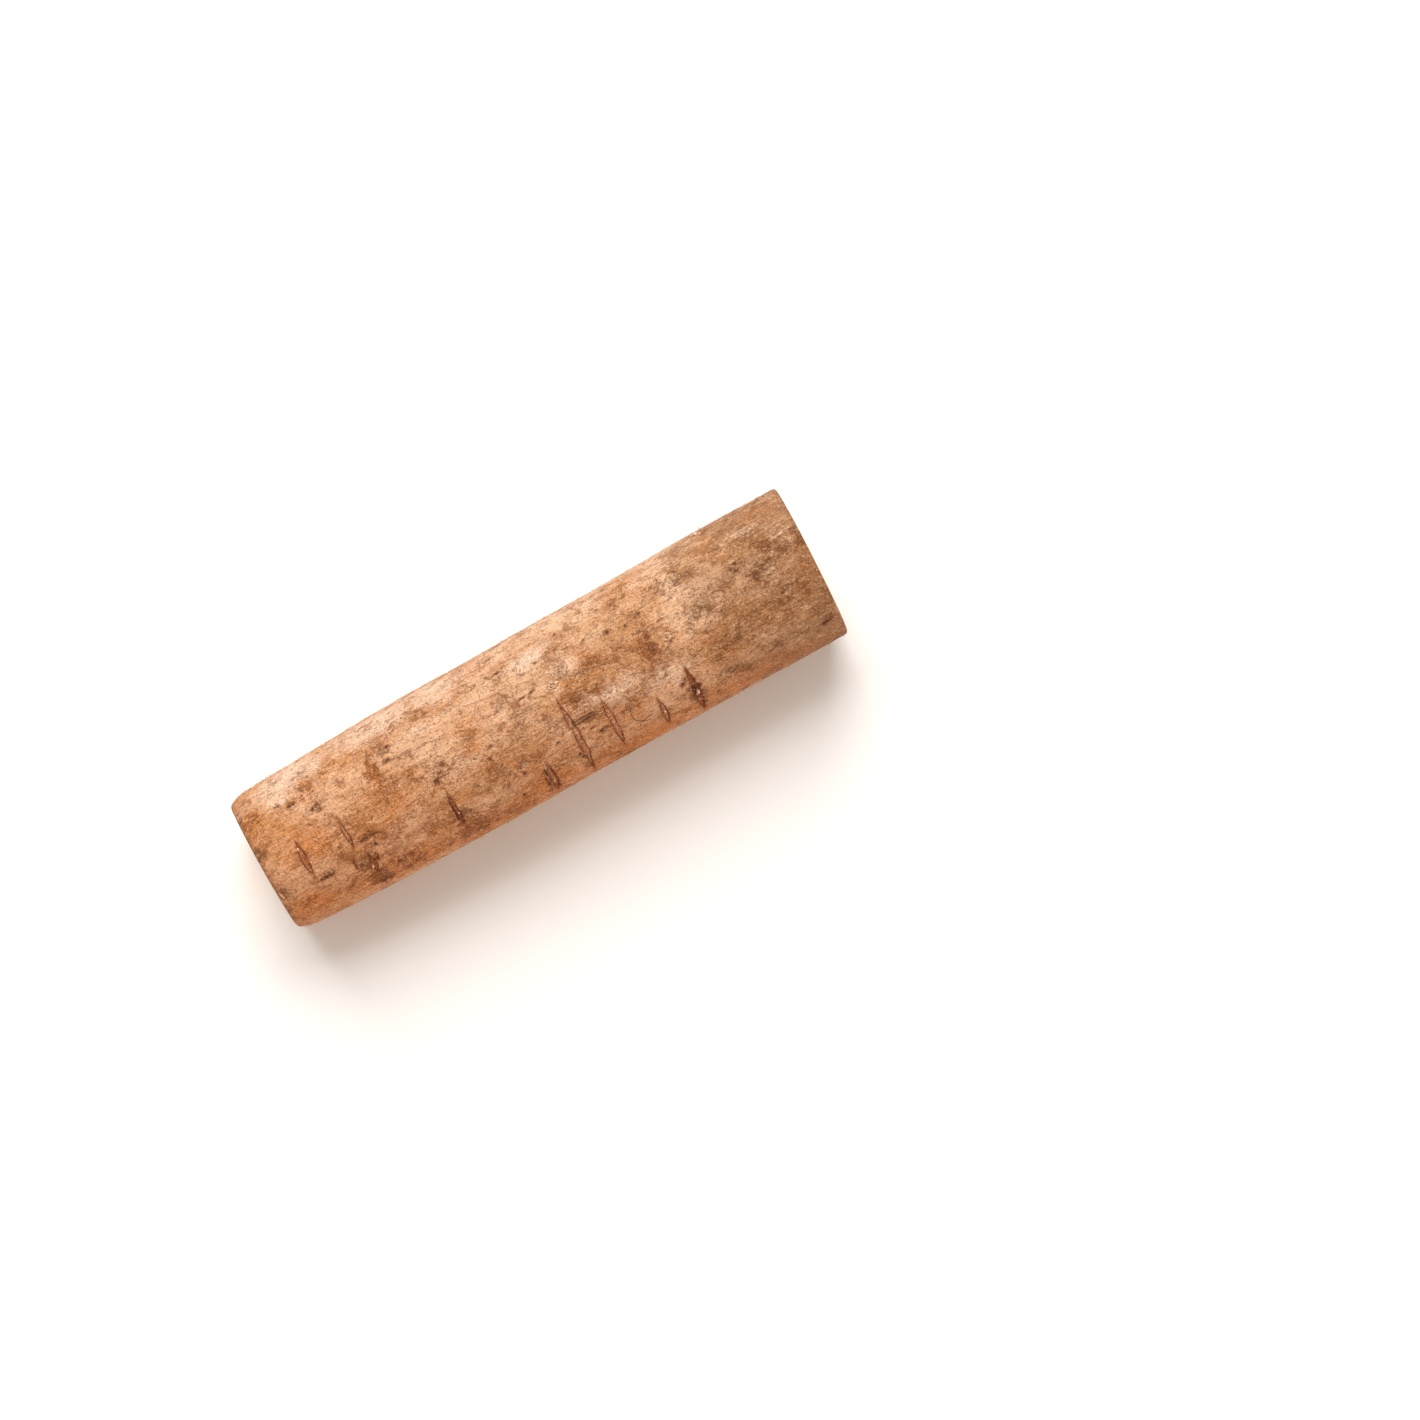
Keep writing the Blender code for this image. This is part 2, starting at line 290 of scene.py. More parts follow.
# The bark's relief: fine fibres along the root, faint wrinkles across it, and low lumps.
FIBRE_HEIGHT = 0.00005
WRINKLE_HEIGHT = 0.00004
LUMP_HEIGHT = 0.00008
rough = place(x, turn, bark_radius(x, turn))
lift = FIBRE_HEIGHT * lumps(rough, (0.0050, 0.00085, 0.00085), 3.0)
lift += WRINKLE_HEIGHT * lumps(rough, (0.0011, 0.0050, 0.0050), 17.0)
lift += LUMP_HEIGHT * lumps(rough, (0.0045, 0.0035, 0.0035), 31.0)

# Each slit is a lens-shaped groove with a slightly raised lip. The distance across it, its half width and
# how open it is are kept with every point of the mesh, so that the material can draw its dark edges.
SLIT_BOW = 0.00008
SLIT_WOBBLE = 0.00006
LIP_HEIGHT = 0.00007
LIP_REACH = 0.00045
slit_lines = np.tile((2.0, 0.0, 0.0), (count, 1))
slit_filling = np.zeros(count)
slit_side = np.zeros(count)
slit_gap = np.full(count, 0.0016)
edge_wobble = lumps(rough, (0.0016, 0.0016, 0.0016), 61.0)
for number, (slit_x, first, last, width, depth, peak, filling) in enumerate(slits):
    begin, finish = front_turn(first), front_turn(last)
    way = 0.5 + turned(turn - (begin + finish) / 2) / (finish - begin)
    inside = (way > 0) & (way < 1) & on_bark
    way = np.clip(way, 0, 1)
    fullness = np.where(inside, np.sin(math.pi * way ** (math.log(0.5) / math.log(peak))), 0.0)
    bow = SLIT_BOW * np.sin(2.5 * math.pi * way + 0.9 * slit_x) + SLIT_WOBBLE * edge_wobble
    across = x - slit_x / 1000 - bow
    half = np.maximum(width / 2000 * np.minimum(1, 1.3 * fullness**2.4) * (1 + 0.25 * edge_wobble), 1e-6)
    steep = 1 if number % 3 else -1
    reach = np.clip(np.abs(across) / (half + 0.00009), 0, 4)
    groove = np.clip(1 - reach**3, 0, 1) * (1 - filling * np.exp(-((reach / 0.5) ** 2)))
    groove *= 1 - 0.35 * steep * np.clip(across / (half + 0.00009), -1, 1)
    lip = np.exp(-(((np.abs(across) - half) / LIP_REACH) ** 2)) * (reach > 1)
    lift += np.where(inside, fullness * LIP_HEIGHT * lip * min(1.0, width), 0.0)
    lift -= np.where(inside, depth / 1000 * fullness**0.8 * groove, 0.0)
    closer = inside & (np.abs(across) - half < slit_gap)
    slit_gap = np.where(closer, np.abs(across) - half, slit_gap)
    lines = np.stack([1000 * np.abs(across), 1000 * half, fullness], axis=-1)
    slit_lines[closer] = lines[closer]
    slit_filling[closer] = filling * np.exp(-(((way[closer] - 0.46) / 0.30) ** 4))
    slit_side[closer] = np.clip(0.5 + steep * across[closer] / 0.0004, 0, 1)

# The short cracks are the same along the root, finer and shallower.
crack_lines = np.tile((2.0, 0.0, 0.0), (count, 1))
crack_gap = np.full(count, 0.0016)
for first_x, last_x, angle, width, depth in cracks:
    way = (1000 * x - first_x) / (last_x - first_x)
    inside = (way > 0) & (way < 1) & on_bark
    fullness = np.where(inside, np.sin(math.pi * np.clip(way, 0, 1)) ** 0.7, 0.0)
    bow = 0.0002 * np.sin(5 * way + angle) + 0.0002 * edge_wobble
    across = THICK_RADIUS * turned(turn - front_turn(angle)) - bow
    half = np.maximum(width / 2000 * fullness, 1e-6)
    lift -= np.where(inside, depth / 1000 * fullness * np.exp(-((across / (half + 0.0001)) ** 2)), 0.0)
    closer = inside & (np.abs(across) - half < crack_gap)
    crack_gap = np.where(closer, np.abs(across) - half, crack_gap)
    lines = np.stack([1000 * np.abs(across), 1000 * half, fullness], axis=-1)
    crack_lines[closer] = lines[closer]

# The cut faces: the core stands a little proud of the groove at the cambium, and the cortex round it is
# faintly rippled. The thin skin of bark ends in a slightly ragged edge.
CAMBIUM_REACH = 0.014
CAMBIUM_DEPTH = 0.00026
CORE_RISE = 0.00022
CORTEX_RIPPLE = 0.00006


def ring_wander(turn):
    """How far the cambium strays from its circle, as a share of the radius."""
    around = np.stack([np.zeros_like(turn), np.sin(turn), np.cos(turn)], axis=-1)
    return 0.022 * lumps(around, (1, 0.55, 0.55), 5.0) + 0.006 * lumps(around, (1, 0.13, 0.13), 8.0)


around = np.stack([np.zeros(count), np.sin(turn), np.cos(turn)], axis=-1)
ring_share = share - ring_wander(turn)
face_rise = CORE_RISE * np.clip(1 - (ring_share / CAMBIUM_SHARE) ** 2, 0, 1)
face_rise -= CAMBIUM_DEPTH * np.exp(-(((ring_share - CAMBIUM_SHARE) / CAMBIUM_REACH) ** 2))
ripple = lumps(around * 9 + start * 60, (1, 1, 1), 12.0)
in_cortex = np.clip((share - CAMBIUM_SHARE) / 0.1, 0, 1) * np.clip((1 - share) / 0.05, 0, 1)
face_rise += CORTEX_RIPPLE * ripple * in_cortex
face_rise -= 0.00008 * np.clip((share - 0.97) / 0.03, 0, 1) * (1 + lumps(around, (1, 0.05, 0.05), 2.0))
outward = np.where(thick_end, 1.0, -1.0)
x = np.where(on_bark, x, outward * (LENGTH / 2 + face_rise))
relief = bark_radius(x, turn) - np.where(thick_end, RIM_DEPTHS[1], RIM_DEPTHS[0]) - girth(x)
cut_radius = share * (girth(x) + relief * share**2)
quiet = np.clip((LENGTH / 2 - np.abs(x)) / 0.0012, 0.25, 1)
skin_radius = bark_radius(x, turn) - rim_inset(x) + lift * quiet
points = place(x, turn, np.where(on_bark, skin_radius, cut_radius))
root.data.vertices.foreach_set("co", points.ravel())
root.data.update()


# The pith of the thick end has split into a star of almond-shaped hollows, and the thin end's has short
# splits. Each is angle in degrees, inner end, outer end and width as shares of the radius.
THICK_STAR = (
    (27, 0.08, 0.19, 0.07), (80, 0.06, 0.27, 0.085), (137, 0.09, 0.24, 0.07), (217, 0.11, 0.28, 0.075),
    (272, 0.07, 0.27, 0.09), (330, 0.06, 0.19, 0.075), (354, 0.17, 0.29, 0.05), (24, 0.24, 0.38, 0.045),
    (243, 0.32, 0.39, 0.05), (40, 0.27, 0.33, 0.025), (188, 0.25, 0.3, 0.028), (97, 0.3, 0.36, 0.028),
    (160, 0.3, 0.4, 0.02), (312, 0.3, 0.38, 0.02), (205, 0.36, 0.44, 0.018),
)
THIN_STAR = (
    (70, 0.03, 0.2, 0.04), (244, 0.04, 0.16, 0.035), (155, 0.1, 0.22, 0.016), (320, 0.12, 0.25, 0.016),
)
STAR_DEPTH = 0.0009
STAR_SLANT = 0.35
WIDEST_HOLLOW = 0.09


def srgb(red, green, blue):
    """Linear colour for screen values from 0 to 255."""
    steps = (value / 255 for value in (red, green, blue))
    return (*(v / 12.92 if v <= 0.04045 else ((v + 0.055) / 1.055) ** 2.4 for v in steps), 1.0)


bark = bpy.data.materials.new("dry_bark")
flesh = bpy.data.materials.new("cut_flesh")
pith = bpy.data.materials.new("pith_hollow")
for material in (bark, flesh, pith):
    root.data.materials.append(material)
bark_point = on_bark.copy()
for face in root.data.polygons:
    face.material_index = 0 if all(bark_point[index] for index in face.vertices) else 1

hollows = bpy.data.collections.new("hollows")
bpy.context.scene.collection.children.link(hollows)
for side, star in ((1, THICK_STAR), (-1, THIN_STAR)):
    end = side * LENGTH / 2
    radius = float(girth(end))
    for angle, inner, outer, width in star:
        bpy.ops.mesh.primitive_uv_sphere_add(
            segments=20, ring_count=10, radius=1.0, rotation=(0, math.pi / 2, 0)
        )
        hollow = bpy.context.object
        bpy.ops.object.transform_apply(rotation=True)
        half_length = (outer - inner) / 2 * radius
        depth = STAR_DEPTH * min(1, 0.25 + 0.75 * width / WIDEST_HOLLOW)
        direction = math.radians(angle)
        for vert in hollow.data.vertices:
            reach, across, deep = vert.co.x, vert.co.y, vert.co.z
            along = (inner + outer) / 2 * radius + half_length * (reach + STAR_SLANT * deep)
            aside = width / 2 * radius * (across * (1 - 0.35 * reach**2) + STAR_SLANT * deep)
            y = -along * math.sin(direction) - aside * math.cos(direction)
            z = along * math.cos(direction) - aside * math.sin(direction) + float(axis_height(end))
            vert.co = (end - side * depth * deep, y, z)
        hollow.data.materials.append(pith)
        shape = bmesh.new()
        shape.from_mesh(hollow.data)
        bmesh.ops.recalc_face_normals(shape, faces=shape.faces)
        shape.to_mesh(hollow.data)
        shape.free()
        bpy.context.scene.collection.objects.unlink(hollow)
        hollows.objects.link(hollow)


# What colours the bark where: reddish-brown stains, grey soil, pale places and warm orange ones. The stains
# and warm ones along the lower flank, at 50 to 66 degrees, are painted warm shade, and the broad pale ones
# along the top edge, near -60 degrees, are a painted highlight.
# Each is x in mm, angle in degrees from the middle of the front, reach along and around, and strength.
STAINS_AND_PAINTED_SHADE = (
    (-52.8, -40, 2.4, 12, 0.62), (-41.9, -37, 1.9, 9, 0.85), (-30.3, -22, 1.5, 17, 0.85),
    (-25.7, -27, 3, 7, 0.5), (-9.9, 6, 1.9, 6, 0.6), (0.9, -36, 0.9, 12, 0.55), (22.9, -2, 2, 15, 0.9),
    (38.6, -14, 1.8, 4, 0.6), (43, -24, 1.6, 5, 0.7), (46.5, -14, 3.4, 6, 0.9),
    (48.5, -27, 2.6, 8, 0.8), (51, -17, 2.2, 8, 0.8), (46.5, -2, 2, 5, 0.6), (54.6, -20, 1.5, 11, 0.85),
    (48.2, 8, 1.3, 7, 0.6), (53.5, 47, 1.3, 4, 0.8), (1.2, 20, 0.9, 8, 0.5), (17.6, -27, 1, 3, 0.8),
    (24, -28, 1, 3, 0.8), (10.5, -12, 6, 3, 0.55), (-36.5, 16, 2, 4, 0.6), (-38.8, 36, 1.7, 18, 0.8),
    (-26.5, -33, 1.8, 9, 0.6), (-13, 10, 2.4, 5, 0.5), (15.5, -7, 3, 3, 0.6), (33, 12, 3, 4, 0.4),
    (25.3, 35, 0.6, 2.5, 1), (-19.3, 0, 1.9, 8, 0.75), (22.7, 3, 1.5, 13, 0.6), (-19, 56, 6, 13, 0.85),
    (-32.5, 56, 4.5, 13, 0.7), (-11, 62, 5, 9, 0.7), (-38, 57, 2.2, 13, 1),
)
SOILS = (
    (-54.8, -11, 1.3, 9, 0.9), (-54.4, 27, 1.9, 9, 0.75), (-55, 45, 1, 8, 0.8),
    (-54.9, -48, 0.8, 14, 0.6), (-42.5, -18, 2.5, 5, 0.55), (-5.9, -19, 2, 7, 0.55),
    (-6.2, 26, 1.7, 6, 0.6), (-20.3, 40, 1.8, 8, 0.8), (20.5, -45, 2, 5, 0.55), (33, -7, 3.5, 8, 0.6),
    (37, 21, 6, 11, 0.65), (33, 45, 2.6, 6, 0.55), (49, 18, 5, 9, 0.4), (45, -20, 5, 9, 0.4),
    (22, -50, 4, 7, 0.45), (-27.5, -33, 2.6, 8, 0.5), (-14, 24, 3.5, 8, 0.4),
    (-17.7, -20.5, 5.5, 1.6, 0.6), (-45.8, 31.5, 2.2, 3, 0.75), (-37.5, 64, 2.2, 3, 0.8),
    (-40.2, 38, 1.2, 10, 0.6), (3.2, 57, 1.2, 10, 0.7), (26.6, 47, 1.5, 7, 1.5), (26.9, 2, 1.5, 6, 0.6),
    (8.9, 37, 0.9, 4, 0.6), (9.4, 66, 1.8, 6, 0.6), (46, -12, 2.2, 5, 0.6), (31, -40, 6, 26, 0.5),
)
# Pale patches, and a painted highlight in the broad ones along the top edge, near -60 degrees.
PALE_PATCHES_AND_PAINTED_HIGHLIGHT = (
    (-44, -60, 8, 19, 0.95), (-47.5, -42, 1.8, 9, 0.9), (-27, -63, 11, 20, 0.85),
    (-14, -63, 8, 20, 0.75), (-3, -64, 8, 17, 0.35), (-20, -34, 8, 7, 0.5), (-14, 5, 3, 8, 0.5),
    (3, -42, 5, 10, 0.9), (10, -64, 10, 15, 0.25), (7.5, -20, 4, 10, 0.7), (24, 22, 5, 9, 0.75),
    (45, -48, 6, 4, 0.5), (53, -29, 3, 1.4, 0.9), (13, 13, 6, 9, 0.8), (4.9, -11, 0.9, 4, 0.9),
)
# Warm orange patches, and painted warm shade in the broad ones along the lower flank, at 50 to 66 degrees.
WARM_PATCHES_AND_PAINTED_SHADE = (
    (-47, 2, 7, 24, 0.8), (-30, 10, 8, 15, 0.5), (-33, 58, 14, 18, 1), (-19, 62, 8, 16, 1),
    (8, 62, 60, 16, 0.6), (-6, 60, 12, 17, 0.9), (15, 36, 6, 9, 0.5), (51, -60, 6, 14, 0.8),
    (53, -45, 2, 6, 0.5), (14, 66, 14, 15, 0.85), (38, 64, 16, 16, 0.85), (-51, 50, 6, 18, 0.9),
    (-43, -26, 2, 7, 0.6), (-52.9, -38, 2.6, 12, 1.1), (-41.9, -38, 1.5, 8, 1.1),
    (-30.4, -22, 1.3, 15, 1.1), (-13, -1, 2.6, 4, 0.8),
)
BACK_MARKS = (24, 22, 14, 10)

marks_and_painted_light = np.zeros((count, 4))
warp_along = 1.1 * lumps(rough, (0.0022, 0.0022, 0.0022), 41.0)
warp_around = 5.5 * lumps(rough, (0.0022, 0.0022, 0.0022), 53.0)
for channel, (listed, extra) in enumerate(zip((STAINS_AND_PAINTED_SHADE, SOILS, PALE_PATCHES_AND_PAINTED_HIGHLIGHT, WARM_PATCHES_AND_PAINTED_SHADE), BACK_MARKS)):
    drawn = []
    for number in range(extra):
        spot = (draw.uniform(-54, 54), draw.uniform(90, 268))
        drawn.append((*spot, draw.uniform(1.0, 4.5), draw.uniform(4, 14), draw.uniform(0.45, 0.85)))
    for spot_x, angle, reach_x, reach_angle, strength in (*listed, *drawn):
        gap_x = (1000 * x + warp_along - spot_x) / reach_x
        gap_turn = (np.degrees(turned(turn - front_turn(angle))) + warp_around) / reach_angle
        marks_and_painted_light[:, channel] = np.maximum(marks_and_painted_light[:, channel], strength * np.exp(-(gap_x**2) - gap_turn**2))


def keep(name, kind, field, values):
    """Keeps a value with each point of the root, for its materials to read."""
    root.data.attributes.new(name, kind, "POINT").data.foreach_set(field, values.ravel())


keep("slit_lines", "FLOAT_VECTOR", "vector", slit_lines)
keep("slit_filling", "FLOAT", "value", slit_filling)
keep("slit_side", "FLOAT", "value", slit_side)
keep("crack_lines", "FLOAT_VECTOR", "vector", crack_lines)
keep("marks_and_painted_light", "FLOAT_COLOR", "color", marks_and_painted_light)

boolean = root.modifiers.new("hollows", "BOOLEAN")
boolean.operation = "DIFFERENCE"
boolean.operand_type = "COLLECTION"
boolean.collection = hollows
boolean.material_mode = "TRANSFER"
bpy.context.view_layer.objects.active = root
bpy.ops.object.modifier_apply(modifier=boolean.name)
for hollow in list(hollows.objects):
    bpy.data.objects.remove(hollow)
bpy.data.collections.remove(hollows)

# How far out each point of a cut face lies, as a share of the radius there.
count = len(root.data.vertices)
flat = np.empty(count * 3)
root.data.vertices.foreach_get("co", flat)
points = flat.reshape(-1, 3)
end_x = np.where(points[:, 0] > 0, LENGTH / 2, -LENGTH / 2)
height = points[:, 2] - axis_height(end_x)
turn = np.arctan2(-points[:, 1], height)
distance = np.hypot(points[:, 1], height)
rim_radius = bark_radius(end_x, turn) - np.where(end_x > 0, RIM_DEPTHS[1], RIM_DEPTHS[0])
share = distance / (girth(end_x) + (rim_radius - girth(end_x)) * np.clip(distance / rim_radius, 0, 1) ** 2)
share = np.clip(share, 0, 1.2)
keep("cut_share", "FLOAT", "value", share)
keep("ring_share", "FLOAT", "value", share - ring_wander(turn))
root.data.shade_smooth()
root.data.set_sharp_from_angle(angle=math.radians(48))


def add_node(tree, kind, inputs=None, **settings):
    """A new node with these settings. Each input takes a value, or another node's output to link."""
    node = tree.nodes.new(kind)
    for name, value in settings.items():
        setattr(node, name, value)
    for name, value in (inputs or {}).items():
        if isinstance(value, bpy.types.NodeSocket):
            tree.links.new(value, node.inputs[name])
        else:
            node.inputs[name].default_value = value
    return node


def calc(tree, operation, first, second=0.0):
    """The output of one Math node."""
    return add_node(tree, "ShaderNodeMath", {0: first, 1: second}, operation=operation).outputs[0]


def both(tree, first, second):
    """Where two masks are both there."""
    return calc(tree, "MULTIPLY", first, second)


def weaken(tree, mask, amount):
    """A mask made weaker by this amount."""
    return calc(tree, "MULTIPLY", mask, amount)


def swing(tree, field):
    """Noise from 0 to 1, moved to swing about 0."""
    return calc(tree, "SUBTRACT", field, 0.5)


def vector(tree, operation, *inputs):
    """The output of one Vector Math node."""
    return add_node(tree, "ShaderNodeVectorMath", dict(enumerate(inputs)), operation=operation).outputs[0]


def noise_at(tree, spot, scale, detail, roughness=0.5):
    """Noise from 0 to 1 at this place."""
    settings = {"Vector": spot, "Scale": scale, "Detail": detail, "Roughness": roughness}
    return add_node(tree, "ShaderNodeTexNoise", settings).outputs["Fac"]


def rise(tree, value, low, high):
    """0 below low, 1 above high and a smooth step between. With low above high it falls instead."""
    settings = {"Value": value, "From Min": min(low, high), "From Max": max(low, high)}
    if low > high:
        settings |= {"To Min": 1.0, "To Max": 0.0}
    return add_node(tree, "ShaderNodeMapRange", settings, interpolation_type="SMOOTHSTEP").outputs["Result"]


def tint(tree, factor, under, over, blend="MIX"):
    """One colour laid over another."""
    inputs = {0: factor, 6: under, 7: over}
    return add_node(tree, "ShaderNodeMix", inputs, data_type="RGBA", blend_type=blend).outputs[2]


def wash(tree, colour, mask, amount, over):
    """A colour with another laid over it where the mask is, as strongly as the amount."""
    return tint(tree, weaken(tree, mask, amount), colour, over)


def new_group(name, inputs, outputs):
    """A shader node group with these named sockets, and its input and output nodes."""
    group = bpy.data.node_groups.new(name, "ShaderNodeTree")
    for socket, kind in inputs.items():
        group.interface.new_socket(socket, in_out="INPUT", socket_type=kind)
    for socket, kind in outputs.items():
        group.interface.new_socket(socket, in_out="OUTPUT", socket_type=kind)
    return group, group.nodes.new("NodeGroupInput"), group.nodes.new("NodeGroupOutput")


# Fine grain that several of the root's surfaces share: velvety specks, pale and dark, and short fibres that
# run along the root.
grain_group, given, made = new_group(
    "Fine Grain",
    {"Point": "NodeSocketVector", "Size": "NodeSocketFloat"},
    {"Grain": "NodeSocketFloat", "Fibres": "NodeSocketFloat", "Pale Specks": "NodeSocketFloat",
     "Dark Specks": "NodeSocketFloat"},
)
sized = vector(grain_group, "DIVIDE", given.outputs["Point"], given.outputs["Size"])
drawn_out = vector(grain_group, "MULTIPLY", sized, (0.16, 1.0, 1.0))
speck = noise_at(grain_group, sized, 0.62, 1.0)
grain_group.links.new(noise_at(grain_group, sized, 1.0, 2.5, 0.6), made.inputs["Grain"])
grain_group.links.new(noise_at(grain_group, drawn_out, 0.75, 2.0, 0.6), made.inputs["Fibres"])
grain_group.links.new(rise(grain_group, speck, 0.60, 0.76), made.inputs["Pale Specks"])
grain_group.links.new(rise(grain_group, speck, 0.40, 0.27), made.inputs["Dark Specks"])

# Where a split in the bark shows its two dark edges, the brown tissue between them and the reddish bark
# beside it. The lines are the distance across the split and its half width, both in mm, and how open it is.
split_group, given, made = new_group(
    "Bark Split",
    {"Lines": "NodeSocketVector", "Wander": "NodeSocketFloat"},
    {"Edges": "NodeSocketFloat", "Inside": "NodeSocketFloat", "Halo": "NodeSocketFloat"},
)
parts = add_node(split_group, "ShaderNodeSeparateXYZ", {0: given.outputs["Lines"]}).outputs
wander = weaken(split_group, swing(split_group, given.outputs["Wander"]), 0.17)
past_edge = calc(split_group, "SUBTRACT", calc(split_group, "ADD", parts[0], wander), parts[1])
present = rise(split_group, parts[2], 0.01, 0.14)
edge = rise(split_group, calc(split_group, "ABSOLUTE", past_edge), 0.15, 0.02)
wide_open = rise(split_group, parts[2], 0.20, 0.72)
split_group.links.new(both(split_group, edge, wide_open), made.inputs["Edges"])
inside = rise(split_group, past_edge, 0.08, -0.04)
split_group.links.new(both(split_group, inside, present), made.inputs["Inside"])
halo = rise(split_group, past_edge, 0.75, 0.0)
split_group.links.new(both(split_group, halo, present), made.inputs["Halo"])


def start_material(material):
    """An emptied material with its Principled shader, and the object's own point in mm."""
    material.use_nodes = True
    tree = material.node_tree
    tree.nodes.clear()
    shader = add_node(tree, "ShaderNodeBsdfPrincipled")
    add_node(tree, "ShaderNodeOutputMaterial", {"Surface": shader.outputs[0]})
    spot = add_node(tree, "ShaderNodeTexCoord").outputs["Object"]
    in_mm = add_node(tree, "ShaderNodeVectorMath", {0: spot, "Scale": 1000.0}, operation="SCALE").outputs[0]
    return tree, shader, in_mm


def clouds(tree, point, size, detail=3.0, offset=0.0, stretch=1.0, roughness=0.55):
    """Noise from 0 to 1 with lumps of this size in mm, longer along the root by the stretch."""
    per_mm = (1 / (size * stretch), 1 / size, 1 / size)
    spot = vector(tree, "MULTIPLY_ADD", point, per_mm, (offset,) * 3)
    return noise_at(tree, spot, 1.0, detail, roughness)


def stored(tree, name, output="Fac"):
    """A value kept with the mesh's points."""
    return add_node(tree, "ShaderNodeAttribute", attribute_name=name).outputs[output]


def fine_grain(tree, point, size):
    """The outputs of the fine grain at this size in mm."""
    grain = add_node(tree, "ShaderNodeGroup", node_tree=grain_group)
    tree.links.new(point, grain.inputs["Point"])
    grain.inputs["Size"].default_value = size
    return grain.outputs


def shade_by(tree, colour, field, low, high, dark, bright):
    """A colour made darker where the field is low and brighter where it is high."""
    settings = {"Value": field, "From Min": low, "From Max": high, "To Min": dark, "To Max": bright}
    level = add_node(tree, "ShaderNodeMapRange", settings).outputs["Result"]
    grey = add_node(tree, "ShaderNodeCombineColor", {0: level, 1: level, 2: level}).outputs[0]
    return tint(tree, 1.0, colour, grey, blend="MULTIPLY")


def finish_surface(tree, shader, colour, roughness, height=None, strength=0.5, distance=0.0001):
    """Gives the shader its colour and roughness, and low relief where there is a height."""
    tree.links.new(colour, shader.inputs["Base Color"])
    shader.inputs["Roughness"].default_value = roughness
    if height is not None:
        settings = {"Height": height, "Strength": strength, "Distance": distance}
        tree.links.new(add_node(tree, "ShaderNodeBump", settings).outputs[0], shader.inputs["Normal"])


# The bark: dry, velvety and light brown, mottled with cream, orange and grey, with painted shade along its
# lower flank and a painted highlight along its top edge. Its splits have dark edges, brown tissue inside and
# soil in them.
tree, shader, point = start_material(bark)
drift = add_node(tree, "ShaderNodeTexNoise", {"Vector": point, "Scale": 0.45, "Detail": 3.0})
shift = vector(tree, "SUBTRACT", drift.outputs["Color"], (0.5, 0.5, 0.5))
warped = vector(tree, "MULTIPLY_ADD", shift, (3.4, 3.4, 3.4), point)
along = add_node(tree, "ShaderNodeSeparateXYZ", {0: point}).outputs[0]
mark = add_node(tree, "ShaderNodeSeparateColor", {0: stored(tree, "marks_and_painted_light", "Color")}).outputs
warm_and_shade_mark = stored(tree, "marks_and_painted_light", "Alpha")
ragged = clouds(tree, point, 0.9, detail=5.0, offset=7.0, stretch=1.3, roughness=0.65)
ragged_half = weaken(tree, swing(tree, ragged), 1.5)
tight = clouds(tree, point, 0.35, detail=2.0, offset=19.0)
tight_half = swing(tree, tight)
clumps = calc(tree, "ADD", weaken(tree, ragged_half, 1.5), weaken(tree, tight_half, 1.7))
grain = fine_grain(tree, point, 0.32)

TAN = srgb(180, 127, 85)
CREAM = srgb(210, 167, 133)
UMBER = srgb(124, 74, 38)
ORANGE_AND_WARM_SHADE = srgb(184, 114, 60)
STAIN_AND_SHADE_BROWN = srgb(98, 49, 20)
SOIL = srgb(88, 55, 30)
GREY = srgb(128, 89, 56)
PALE_AND_HIGHLIGHT_CREAM = srgb(219, 185, 159)
SPLIT_EDGE = srgb(72, 28, 8)
SPLIT_DARK = srgb(140, 78, 42)
SPLIT_FULL = srgb(192, 138, 100)
SPLIT_HALO = srgb(142, 78, 42)

broad = clouds(tree, warped, 8.5, detail=4.0, offset=1.0, stretch=1.5)
colour = tint(tree, rise(tree, broad, 0.36, 0.66), TAN, CREAM)
middling = clouds(tree, warped, 4.2, detail=5.0, offset=5.0, stretch=1.5, roughness=0.66)
colour = wash(tree, colour, rise(tree, middling, 0.48, 0.68), 0.70, UMBER)
orange = clouds(tree, warped, 6.5, detail=4.0, offset=11.0, stretch=1.6)
orange = weaken(tree, rise(tree, orange, 0.50, 0.72), 0.42)
left_half = weaken(tree, rise(tree, along, 5.0, -50.0), 0.34)
orange = calc(tree, "MAXIMUM", orange, left_half)
# Along the lower flank the warm marks are painted warm shade; elsewhere they are warm orange patches.
warm = rise(tree, calc(tree, "ADD", warm_and_shade_mark, weaken(tree, ragged_half, 0.5)), 0.12, 0.80)
colour = tint(tree, calc(tree, "MAXIMUM", orange, weaken(tree, warm, 0.8)), colour, ORANGE_AND_WARM_SHADE)
right_half = calc(tree, "ADD", rise(tree, along, 20.0, 52.0), weaken(tree, swing(tree, middling), 1.6))
right_half = both(tree, rise(tree, right_half, 0.05, 0.95), rise(tree, along, 8.0, 30.0))
colour = wash(tree, colour, right_half, 0.62, GREY)

